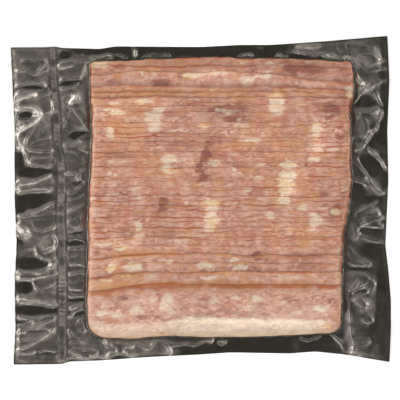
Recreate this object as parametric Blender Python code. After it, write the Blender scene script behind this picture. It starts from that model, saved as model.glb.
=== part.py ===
"""Vacuum pack of shingled bacon: a flat pouch with a black back film and a clear
front film drawn down over a stack of overlapping slices.

Frame: metres, +Z up. The pack lies on its back. X runs along the slices, +Y is the
end where the first slice lies, and the origin is under the middle of the pouch, on
the surface that it rests on.

Two solids:
  back_film   the black back web, flat under the meat and rippled in the border
  clear_bag   the clear front web with the bacon that it holds, closed underneath
"""

import math

import bpy
import bmesh

MM = 0.001

# Pouch, between its four corner ears
POUCH_LEFT, POUCH_RIGHT = -187.0, 187.0
POUCH_NEAR, POUCH_FAR = -158.0, 158.0
FILM = 0.4  # each web
GAP = 0.3  # between the webs

# Foot of the filled part, where the clear film leaves the back film
FOOT_LEFT, FOOT_RIGHT = -117.0, 155.0
FOOT_NEAR, FOOT_FAR = -141.5, 146.0
FOOT_CORNER = 15.0
SHOULDER = 9.0  # width of the rounded wall up to the top

# Stack of slices
SLICE_COUNT = 40
SLICE_THICK = 1.9
SLICE_WIDE = 48.0
PITCH = 5.45  # from one slice's upper edge to the next, in the middle
SPREAD_FAR, SPREAD_NEAR = 4.0, 5.0  # extra pitch at the two ends
FIRST_EDGE, LAST_EDGE = 140.0, -92.0
TILT = math.asin(SLICE_THICK / PITCH)
STACK_TALL = SLICE_WIDE * math.sin(TILT) + SLICE_THICK * math.cos(TILT)
STEP = 1.2  # relief of one slice edge under the film

# Weld across the pouch's mouth
WELD_LEFT, WELD_RIGHT = -148.0, -136.0


def smooth(a, b, v):
    """0 below a, 1 above b, and a smooth rise between them."""
    t = min(1.0, max(0.0, (v - a) / (b - a)))
    return t * t * (3.0 - 2.0 * t)


def slice_edges():
    """Y of every slice's upper edge, from the far end to the near end."""
    gaps = SLICE_COUNT - 1
    pitches = [
        PITCH
        + SPREAD_FAR * math.exp(-k / 1.6)
        + SPREAD_NEAR * math.exp(-(gaps - 1 - k) / 1.7)
        for k in range(gaps)
    ]
    scale = (FIRST_EDGE - LAST_EDGE) / sum(pitches)
    edges = [FIRST_EDGE]
    for pitch in pitches:
        edges.append(edges[-1] - pitch * scale)
    return edges


EDGES = slice_edges()


def stack_height(y):
    """Height of the stack along Y: a ramp where it starts, level, then the front slice's slope."""
    start = 0.26 + 0.74 * smooth(FOOT_FAR - 4.0, FOOT_FAR - 50.0, y)
    front = 1.0 - 0.70 * smooth(LAST_EDGE + 2.0, FOOT_NEAR + 1.0, y) ** 1.15
    return STACK_TALL * min(start, front)


def step_relief(y):
    """Saw tooth of the overlapping edges: up at each slice's edge, then down along its face."""
    for upper, lower in zip(EDGES, EDGES[1:]):
        if lower <= y <= upper:
            along = (upper - y) / (upper - lower)
            rise = 0.22
            tooth = along / rise if along < rise else (1.0 - along) / (1.0 - rise)
            return STEP * (tooth - 0.5)
    return 0.0


def foot_distance(x, y):
    """Distance inside the rounded foot outline, negative outside it."""
    cx, cy = (FOOT_LEFT + FOOT_RIGHT) / 2, (FOOT_NEAR + FOOT_FAR) / 2
    dx = abs(x - cx) - ((FOOT_RIGHT - FOOT_LEFT) / 2 - FOOT_CORNER)
    dy = abs(y - cy) - ((FOOT_FAR - FOOT_NEAR) / 2 - FOOT_CORNER)
    outside = math.hypot(max(dx, 0.0), max(dy, 0.0)) + min(max(dx, dy), 0.0)
    return FOOT_CORNER - outside


def filling(x, y):
    """Height of the clear web above the border: the stack with its rounded walls."""
    d = foot_distance(x, y)
    if d <= 0.0:
        return 0.0
    share = min(1.0, d / SHOULDER)
    wall = math.sqrt(1.0 - (1.0 - share) ** 2.4)
    return wall * (stack_height(y) + step_relief(y) * smooth(4.0, SHOULDER, d))


def ridge(phase, sharp):
    """Folds of a crumpled film: narrow crests and wide flat troughs, from 0 to 1."""
    return (0.5 + 0.5 * math.cos(phase)) ** sharp


def border(x, y):
    """Height of the back film in the border, above the surface that the pack lies on."""
    d = -foot_distance(x, y)
    if d <= 0.0:
        return 0.0
    lift = 3.2 * smooth(0.0, 9.0, d)
    swell = (
        1.5 * math.sin(x / 31.0 + 0.6) * math.sin(y / 27.0 + 1.1)
        + 1.1 * math.sin(x / 47.0 - y / 38.0 + 2.0)
    ) * smooth(2.0, 22.0, d)
    ears = 3.0 * smooth(150.0, 240.0, math.hypot(x, y))
    free = smooth(3.0, 12.0, d)
    if x < FOOT_LEFT:  # the wide end: folds run across it, flattened by the weld
        sealed = smooth(WELD_LEFT - 5.0, WELD_LEFT, x) * smooth(WELD_RIGHT + 5.0, WELD_RIGHT, x)
        folds = 1.5 * ridge(y / 3.1 + 0.7 * math.sin(x / 17.0), 3.0) * (1.0 - 0.85 * sealed)
    elif x > FOOT_RIGHT:
        folds = 1.6 * ridge(y / 5.2 + x / 11.0, 3.0)
    else:
        folds = 0.5 * ridge(x / 7.5, 3.0)
    return lift + swell * 0.8 + ears + folds * free


def outline_warp(x, y):
    """Moves a point of the straight-sided layout to the real one: pulled-in sides with ears at the corners, and a stack that is a little narrower at its near end."""
    along_x = (x - POUCH_LEFT) / (POUCH_RIGHT - POUCH_LEFT)
    along_y = (y - POUCH_NEAR) / (POUCH_FAR - POUCH_NEAR)
    hump_x, hump_y = math.sin(math.pi * along_x), math.sin(math.pi * along_y)
    left = smooth(FOOT_LEFT, POUCH_LEFT, x)
    right = smooth(FOOT_RIGHT, POUCH_RIGHT, x)
    near = smooth(FOOT_NEAR, POUCH_NEAR, y)
    far = smooth(FOOT_FAR, POUCH_FAR, y)
    dx = left * (-2.2 + 4.4 * hump_y - 0.6 * math.sin(y / 14.0))
    dx += right * (1.6 - 2.6 * hump_y - 1.5 * math.sin(y / 26.0 + 0.6))
    dx += smooth(60.0, FOOT_RIGHT, x) * (1.0 - right) * 5.2 * (along_y - 0.55)
    dy = far * (-5.0 + 11.0 * along_x ** 1.5 - 4.6 * hump_x)
    dy += near * (-6.0 + 2.6 * along_x + 9.0 * hump_x ** 1.2 - 0.8 * math.sin(x / 12.0))
    return x + dx, y + dy


def grid_lines():
    """X and Y lines of the layout, and the indices of the foot's lines in them."""
    xs = [POUCH_LEFT, -174.0, -161.0, WELD_LEFT, WELD_RIGHT, -126.0, FOOT_LEFT]
    i0 = len(xs) - 1
    xs += [-114.5, -111.5, -107.0, -45.0, 20.0, 85.0, 145.0, 149.5, 152.5, FOOT_RIGHT]
    i1 = len(xs) - 1
    xs += [165.0, 176.0, POUCH_RIGHT]
    ys = [POUCH_NEAR, -152.0, -146.5, FOOT_NEAR]
    j0 = len(ys) - 1
    ys += [-139.5, -136.5, -131.0, -122.0, -112.0, -101.0]
    for upper, lower in reversed(list(zip(EDGES, EDGES[1:]))):
        if upper - lower > 0.1:
            ys += [lower, upper - 0.22 * (upper - lower)]
    ys += [EDGES[0], 143.5, FOOT_FAR]
    j1 = len(ys) - 1
    ys += [152.5, POUCH_FAR]
    return xs, ys, i0, i1, j0, j1


XS, YS, I0, I1, J0, J1 = grid_lines()


def pouch_middle():
    """Middle of the pouch's outline, which is put at the origin."""
    points = [outline_warp(x, y) for x in XS for y in YS]
    across = [p[0] for p in points]
    along = [p[1] for p in points]
    return (min(across) + max(across)) / 2, (min(along) + max(along)) / 2


MIDDLE_X, MIDDLE_Y = pouch_middle()


def surface(bm, height):
    """One vertex for each crossing of the layout's lines, at the given height."""
    rows = []
    for y in YS:
        row = []
        for x in XS:
            px, py = outline_warp(x, y)
            place = (px - MIDDLE_X, py - MIDDLE_Y, height(x, y))
            row.append(bm.verts.new([c * MM for c in place]))
        rows.append(row)
    return rows


def skin(bm, rows, upward, open_middle):
    """Faces over a surface. The flat middle of an underside takes one strip for each row."""

    def face(*verts):
        bm.faces.new(verts if upward else verts[::-1])

    for j in range(len(YS) - 1):
        for i in range(len(XS) - 1):
            if open_middle and I0 <= i < I1 and J0 <= j < J1:
                continue
            face(rows[j][i], rows[j][i + 1], rows[j + 1][i + 1], rows[j + 1][i])
    if not open_middle:
        return
    for i in range(I0, I1):
        face(rows[J0][i], rows[J0][i + 1], rows[J0 + 1][I0])
        face(rows[J1][i + 1], rows[J1][i], rows[J1 - 1][I1])
    face(rows[J0][I1], rows[J0 + 1][I1], rows[J0 + 1][I0])
    face(rows[J1][I0], rows[J1 - 1][I0], rows[J1 - 1][I1])
    for j in range(J0 + 1, J1 - 1):
        face(rows[j][I0], rows[j][I1], rows[j + 1][I1], rows[j + 1][I0])


def rim(bm, lower, upper):
    """The cut edge all round, between a lower and an upper surface."""
    last_i, last_j = len(XS) - 1, len(YS) - 1
    loop = [(0, i) for i in range(last_i)]
    loop += [(j, last_i) for j in range(last_j)]
    loop += [(last_j, i) for i in range(last_i, 0, -1)]
    loop += [(j, 0) for j in range(last_j, 0, -1)]
    for (j, i), (q, p) in zip(loop, loop[1:] + loop[:1]):
        bm.faces.new((lower[j][i], lower[q][p], upper[q][p], upper[j][i]))


def web(name, lower_height, upper_height, flat_top, material):
    """A closed solid between two surfaces of the layout."""
    bm = bmesh.new()
    lower = surface(bm, lower_height)
    upper = surface(bm, upper_height)
    skin(bm, lower, False, True)
    skin(bm, upper, True, flat_top)
    rim(bm, lower, upper)
    for v in [v for v in bm.verts if not v.link_faces]:
        bm.verts.remove(v)
    mesh = bpy.data.meshes.new(name)
    bm.to_mesh(mesh)
    bm.free()
    mesh.shade_smooth()
    mesh.set_sharp_from_angle(angle=math.radians(50.0))
    mesh.materials.append(material)
    obj = bpy.data.objects.new(name, mesh)
    bpy.context.scene.collection.objects.link(obj)
    return obj


def finish(name, colour, roughness, alpha=1.0):
    material = bpy.data.materials.new(name)
    material.use_nodes = True
    shader = material.node_tree.nodes["Principled BSDF"]
    shader.inputs["Base Color"].default_value = (*colour, 1.0)
    shader.inputs["Roughness"].default_value = roughness
    shader.inputs["Metallic"].default_value = 0.0
    shader.inputs["Alpha"].default_value = alpha
    material.diffuse_color = (*colour, 1.0)
    return material


def main():
    for obj in list(bpy.data.objects):
        bpy.data.objects.remove(obj)
    black = finish("black_film", (0.022, 0.020, 0.017), 0.22)
    meat = finish("bacon_in_clear_film", (0.552, 0.292, 0.195), 0.28)
    web("back_film", border, lambda x, y: border(x, y) + FILM, True, black)
    web(
        "clear_bag",
        lambda x, y: border(x, y) + FILM + GAP,
        lambda x, y: border(x, y) + 2.0 * FILM + GAP + filling(x, y),
        False,
        meat,
    )


main()
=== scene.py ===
"""Looks of the bacon pack: smoked bacon slices laid over each other like roof tiles, a clear
front film drawn down over them and a black back film, crumpled together in the border.

All shapes are worked out in millimetres in the pack's own frame and scaled at the end.
"""

import math

import bpy
import numpy as np
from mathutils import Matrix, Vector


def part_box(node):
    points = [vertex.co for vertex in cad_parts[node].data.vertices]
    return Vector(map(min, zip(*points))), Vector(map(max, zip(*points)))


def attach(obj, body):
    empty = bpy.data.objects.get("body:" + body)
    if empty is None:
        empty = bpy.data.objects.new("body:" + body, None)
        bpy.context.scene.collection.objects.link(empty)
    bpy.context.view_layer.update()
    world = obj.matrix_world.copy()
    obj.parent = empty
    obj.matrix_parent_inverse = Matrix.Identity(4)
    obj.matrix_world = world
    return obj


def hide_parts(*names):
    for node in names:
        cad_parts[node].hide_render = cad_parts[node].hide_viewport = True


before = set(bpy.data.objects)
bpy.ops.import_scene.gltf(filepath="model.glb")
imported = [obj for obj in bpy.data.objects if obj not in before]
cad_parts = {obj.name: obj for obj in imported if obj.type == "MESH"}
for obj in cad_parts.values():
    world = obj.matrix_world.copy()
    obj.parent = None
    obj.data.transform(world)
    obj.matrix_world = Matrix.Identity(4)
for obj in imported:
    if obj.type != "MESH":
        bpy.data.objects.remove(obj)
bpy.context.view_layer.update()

MM = 0.001

# ------------------------------------------------------------------ small helpers


def smooth(a, b, v):
    """0 at a, 1 at b, and a smooth rise between them."""
    t = np.clip((np.asarray(v, float) - a) / (b - a), 0.0, 1.0)
    return t * t * (3.0 - 2.0 * t)


def spline(points, v):
    """A smooth curve through a few (position, value) points."""
    points = np.array(sorted(points), float)
    px, py = points[:, 0], points[:, 1]
    slope = np.gradient(py, px)
    v = np.clip(v, px[0], px[-1])
    i = np.clip(np.searchsorted(px, v, side="right") - 1, 0, len(px) - 2)
    h = px[i + 1] - px[i]
    t = (v - px[i]) / h
    return (
        (2 * t**3 - 3 * t**2 + 1) * py[i]
        + (t**3 - 2 * t**2 + t) * h * slope[i]
        + (-2 * t**3 + 3 * t**2) * py[i + 1]
        + (t**3 - t**2) * h * slope[i + 1]
    )


def outline(points, v):
    """A line through (position, value) points that bends softly at them."""
    points = np.array(sorted(points), float)
    return sum(np.interp(v + o, points[:, 0], points[:, 1]) for o in (-3.0, -1.5, 0.0, 1.5, 3.0)) / 5.0


def lattice(seed, ix, iy):
    """A repeatable random number from 0 to 1 for every whole-number point."""
    h = (ix.astype(np.int64) * 374761393 + iy.astype(np.int64) * 668265263 + seed * 974634777) & 0xFFFFFFFF
    h = ((h ^ (h >> 13)) * 1274126177) & 0xFFFFFFFF
    h = ((h ^ (h >> 16)) * 2246822519) & 0xFFFFFFFF
    return ((h ^ (h >> 15)) & 0xFFFFFF) / float(0xFFFFFF)


def noise(x, y, seed=0):
    """Smooth noise from -1 to 1, with features about one unit wide."""
    x, y = np.broadcast_arrays(np.asarray(x, float), np.asarray(y, float))
    ix, iy = np.floor(x), np.floor(y)
    fx, fy = x - ix, y - iy
    out = 0.0
    ux = fx * fx * fx * (fx * (fx * 6 - 15) + 10)
    uy = fy * fy * fy * (fy * (fy * 6 - 15) + 10)
    for dx in (0, 1):
        for dy in (0, 1):
            a = lattice(seed, ix + dx, iy + dy) * 2 * math.pi
            g = np.cos(a) * (fx - dx) + np.sin(a) * (fy - dy)
            out = out + g * (ux if dx else 1 - ux) * (uy if dy else 1 - uy)
    return out * 1.5


def fractal(x, y, seed=0, octaves=3):
    total, size = 0.0, 1.0
    for i in range(octaves):
        total = total + size * noise(x * 2**i, y * 2**i, seed + 17 * i)
        size *= 0.5
    return total


def cells(x, y, seed=0):
    """Distances to the nearest and second nearest of scattered points, and the nearest one's number."""
    ix, iy = np.floor(x), np.floor(y)
    near = np.full(x.shape, 9.0)
    second = np.full(x.shape, 9.0)
    tag = np.zeros(x.shape)
    for dx in (-1, 0, 1):
        for dy in (-1, 0, 1):
            jx, jy = ix + dx, iy + dy
            px = jx + 0.5 + 0.8 * (lattice(seed, jx, jy) - 0.5)
            py = jy + 0.5 + 0.8 * (lattice(seed + 1, jx, jy) - 0.5)
            d = np.hypot(x - px, y - py)
            closer = d < near
            second = np.where(closer, near, np.minimum(second, d))
            tag = np.where(closer, lattice(seed + 2, jx, jy), tag)
            near = np.where(closer, d, near)
    return near, second, tag


# ------------------------------------------------------------------ the stack of slices

LOW, HIGH = [np.array(c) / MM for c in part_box("clear_bag")]
TALL = HIGH[2]  # top of the filled pack

SLICE_THICK = 2.0
SLICE_WIDE = 53.0  # the top slice as it lies, seen from above
BASE = 1.0  # height of the lowest slice's underside above the floor

# Upper edges of the slices, far end first: loose at both ends and close in the middle
EDGE_Y = [141.0, 134.5, 128.0, 113.0, 107.5, 102.0]
EDGE_Y += [102.0 - 4.9 * i for i in range(1, 31)]
EDGE_Y += [-54.0, -62.0, -71.5, -83.5]
EDGE_Y = np.array(EDGE_Y)
COUNT = len(EDGE_Y)
FRONT = COUNT - 1
CREST_TALL = TALL - 2.2

rng = np.random.default_rng(7)
CREST = rng.uniform(-0.5, 0.5, COUNT)
EDGE_Y[6:35] += rng.uniform(-1.3, 1.3, 29)
own_left = rng.uniform(-0.6, 0.6, COUNT)
own_right = rng.uniform(-0.8, 0.8, COUNT)


def side_left(k, y):
    """X of slice k's left end at Y: the straight-cut side of the block, a little uneven."""
    line = spline([(-140, -113), (-60, -111.7), (0, -110.3), (30, -109), (80, -107.8), (110, -109.6), (145, -111)], y)
    return line + own_left[k] + 0.7 * noise(y / 13.0, 0.5, 11)


def side_right(k, y):
    line = spline([(-140, 139.3), (-91, 139.5), (-60, 139.6), (-30, 141), (-15, 144.5), (-3, 146.2), (8, 148), (40, 148.3), (80, 147.6), (95, 147), (104, 149.4), (110, 150.6), (145, 150.6)], y)
    return line + own_right[k] * smooth(-100.0, -60.0, y) + 0.8 * noise(y / 11.0, 0.5, 13)


SLICE_LEFT = np.array([side_left(k, EDGE_Y[k]) for k in range(COUNT)])
SLICE_RIGHT = np.array([side_right(k, EDGE_Y[k]) for k in range(COUNT)])
EDGE_RUN = 1.2 + 0.8 * rng.random(COUNT)  # width of the rolled-over outer edge
EDGE_RUN[[1, 2, 3, 4]] = [2.4, 2.0, 2.0, 1.8]
EDGE_RUN[FRONT - 3 :] = [2.0, 1.8, 2.2, 4.6]


def edge_line(k, x):
    """Y of slice k's upper edge along X, as uneven as cut meat."""
    wave = 1.3 * noise(x / 75.0, k * 0.21, 3) + 1.5 * noise(x / 28.0, k * 0.75, 5)
    wave = wave + 0.75 * noise(x / 11.0, k * 1.3, 9) + 0.3 * noise(x / 4.2, k * 2.3, 10)
    near_front = math.exp(-((FRONT - k) / 4.5) ** 2)
    droop = -7.5 * near_front * smooth(-50.0, -112.0, x) ** 1.1
    if k == FRONT:
        droop = droop + 1.6 * np.exp(-(((x + 38.0) / 26.0) ** 2)) - 0.5 * smooth(0.0, 40.0, x)
    if k == 2:
        droop = droop - 9.5 * smooth(30.0, 140.0, x) - 4.5 * smooth(-60.0, -110.0, x)
    elif k in (1, 3):
        droop = droop - 2.5 * smooth(60.0, 140.0, x)
    if k == 0:
        droop = droop - 3.6 * smooth(-40.0, -112.0, x) - 3.0 * smooth(90.0, 152.0, x) + 1.4 * np.exp(-(((x - 5.0) / 40.0) ** 2))
    ends = np.minimum(x - SLICE_LEFT[k], SLICE_RIGHT[k] - x)
    corner = np.clip(1.0 - ends / (6.0 if k == 0 else 3.5), 0.0, 1.0)
    droop = droop - (4.5 if k == 0 else 2.0) * (1.0 - np.sqrt(np.clip(1.0 - corner**2, 0.0, 1.0)))
    return EDGE_Y[k] + wave * (0.7 if k in (0, FRONT) else 1.0) + droop


def stack_line(y):
    """Height of the slices' crests along Y: a ramp over the first few slices, then level."""
    ramp = 0.20 + 0.80 * smooth(146.0, 94.0, y)
    return CREST_TALL * ramp


def slice_top(k, x, d):
    """Height of slice k's upper side, d being the distance in from its upper edge."""
    edge = edge_line(k, x)
    crest = stack_line(edge) + CREST[k] + 0.6 * noise(x / 26.0, k * 0.8, 21) + 0.3 * noise(x / 10.0, k * 2.1, 23)
    foot = BASE + SLICE_THICK
    if k == FRONT:
        q = np.clip(d / SLICE_WIDE, 0.0, 1.0)
        z = crest + (foot + 1.4 - crest) * (0.5 * q + 0.5 * q**2.0)
        fat_roll = np.clip((front_reach(x) - d) / 8.0, 0.0, 1.0)
        z = z - 3.2 * (1.0 - np.sqrt(np.clip(1.0 - (1.0 - fat_roll) ** 2, 0.0, 1.0)))
        z = z + 0.30 * noise(x / 17.0, d / 11.0, 31) + 0.18 * noise(x / 6.5, d / 4.5, 33)
    else:
        q = np.clip(d / 43.0, 0.0, 1.0)
        steep = 0.5
        z = crest + (foot - crest) * q * (steep + (1.0 - steep) * q)
        z = z + 0.10 * noise(x / 9.0, d / 3.0 + k * 5.0, 35)
    run = EDGE_RUN[k] * (1.0 + 0.35 * noise(x / 18.0, k * 3.3, 41))
    cut = np.clip(1.0 - d / run, 0.0, 1.0)
    edge_thick = SLICE_THICK * (0.72 if k in (1, FRONT) else 0.42 + 0.3 * noise(x / 20.0, k * 2.9, 45))
    z = z - edge_thick * (1.0 - np.sqrt(np.clip(1.0 - cut**2.2, 0.0, 1.0)))
    return z


def end_drop(k, x, y):
    """How far slice k lies below its middle towards its two ends, which are pressed down."""
    left_wide = 3.0 + 1.0 * smooth(80.0, -60.0, y)
    right_wide = 3.0 + 2.5 * smooth(40.0, -10.0, y) * smooth(-95.0, -80.0, y)
    left = np.clip(1.0 - (x - side_left(k, y)) / left_wide, 0.0, 1.0)
    right = np.clip(1.0 - (side_right(k, y) - x) / right_wide, 0.0, 1.0)
    drop = 0.8 * left_wide * (1.0 - np.sqrt(np.clip(1.0 - left**2.2, 0.0, 1.0)))
    return drop + 0.75 * right_wide * (1.0 - np.sqrt(np.clip(1.0 - right**2.2, 0.0, 1.0)))


def front_reach(x):
    """How far the top slice reaches from its upper edge, less at its rounded corners."""
    low = spline([(-113, -136.5), (-90, -137.3), (-66, -138.0), (-51, -136.4), (14, -136.6), (59, -136.0), (94, -134.4), (125, -132.6), (142, -131.6)], x)
    left = np.clip(1.0 - (x - SLICE_LEFT[FRONT]) / 18.0, 0.0, 1.0)
    right = np.clip(1.0 - (SLICE_RIGHT[FRONT] - x) / 12.0, 0.0, 1.0)
    low = low + 16.0 * (1.0 - np.sqrt(np.clip(1.0 - left**2, 0.0, 1.0)))
    low = low + 11.0 * (1.0 - np.sqrt(np.clip(1.0 - right**2.3, 0.0, 1.0)))
    return edge_line(FRONT, x) - low + 0.25 * noise(x / 9.0, 0.5, 43)


# ------------------------------------------------------------------ outline of the pouch


def top_side(x):
    return outline([(-190, 152.5), (-154, 152.6), (-148, 153.4), (-145, 153.6), (-141, 152), (-101, 151), (-93, 152.4), (-86, 153.6), (-40, 153.2), (0, 153), (39, 155), (69, 155), (129, 159), (187, 164)], x)


def near_side(x):
    return outline([(-188, -164), (-137, -163.4), (-133, -161), (-101, -160), (-51, -156.5), (0, -154), (29, -152), (89, -153), (114, -151), (144, -154), (188.5, -161.5)], x)


def left_side(y):
    return outline([(-164, -187), (-130, -185), (-80, -186), (-45, -184), (0, -186), (70, -186), (115, -188), (153, -190)], y) + 0.35 * noise(y / 7.0, 0.3, 51)


def right_side(y):
    return outline([(-161.5, 188), (-130, 189.5), (-100, 189.5), (-70, 187), (-45, 184), (20, 187), (70, 186), (120, 188), (164, 186)], y)


def pouch_point(s, t):
    """Point of the pouch for s across and t along, each from 0 to 1: a patch between four sides."""
    xs_near = -187.0 + (188.0 + 187.0) * s
    xs_far = -190.0 + (186.0 + 190.0) * s
    ys_left = -164.0 + (152.5 + 164.0) * t
    ys_right = -161.5 + (164.0 + 161.5) * t
    near = np.stack([xs_near, near_side(xs_near)], -1)
    far = np.stack([xs_far, top_side(xs_far)], -1)
    left = np.stack([left_side(ys_left), ys_left], -1)
    right = np.stack([right_side(ys_right), ys_right], -1)
    c00, c10 = np.array([-187.0, -164.0]), np.array([188.0, -161.5])
    c01, c11 = np.array([-190.0, 152.5]), np.array([186.0, 164.0])
    s, t = s[..., None], t[..., None]
    ruled = (1 - t) * near + t * far + (1 - s) * left + s * right
    return ruled - ((1 - s) * (1 - t) * c00 + s * (1 - t) * c10 + (1 - s) * t * c01 + s * t * c11)


# ------------------------------------------------------------------ heights on a raster

CELL = 0.5
RX = np.arange(-196.0, 196.01, CELL)
RY = np.arange(-170.0, 170.01, CELL)
GX, GY = np.meshgrid(RX, RY)

FOOT = dict(left=-116.0, right=154.0, near=-140.5, far=145.5, corner=14.0)


def foot_distance(x, y):
    """Distance outside the foot of the filled part, negative inside it."""
    cx, cy = (FOOT["left"] + FOOT["right"]) / 2, (FOOT["near"] + FOOT["far"]) / 2
    half_x = (FOOT["right"] - FOOT["left"]) / 2 - FOOT["corner"] - 5.5 * smooth(60.0, -80.0, y) * smooth(0.0, 60.0, x)
    half_y = (FOOT["far"] - FOOT["near"]) / 2 - FOOT["corner"]
    dx, dy = np.abs(x - cx) - half_x, np.abs(y - cy) - half_y
    return np.hypot(np.maximum(dx, 0), np.maximum(dy, 0)) + np.minimum(np.maximum(dx, dy), 0) - FOOT["corner"]


def border_lie(x, y):
    """How the border of the pouch lies: low swells, and ears that lift a little."""
    d = np.maximum(foot_distance(x, y), 0.0)
    lift = 0.8 * smooth(0.0, 16.0, d)
    swell = 0.75 * noise(x / 48.0, y / 42.0, 61) + 0.35 * noise(x / 24.0, y / 20.0, 63)
    ears = 2.4 * smooth(165.0, 245.0, np.hypot(x, y))
    return np.maximum(lift + swell * smooth(6.0, 30.0, d) + ears, 0.0)


def weld_x(y):
    """X of the right side of the weld across the pouch's mouth."""
    return spline([(-165, -134.6), (-55, -134.6), (-20, -136), (42, -137), (52, -139.3), (80, -140.2), (110, -143), (155, -145.3)], y)


def weld_left(y):
    return weld_x(y) - spline([(-165, 8.8), (-40, 8.8), (40, 8.2), (90, 7.4), (155, 6.4)], y)


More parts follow.
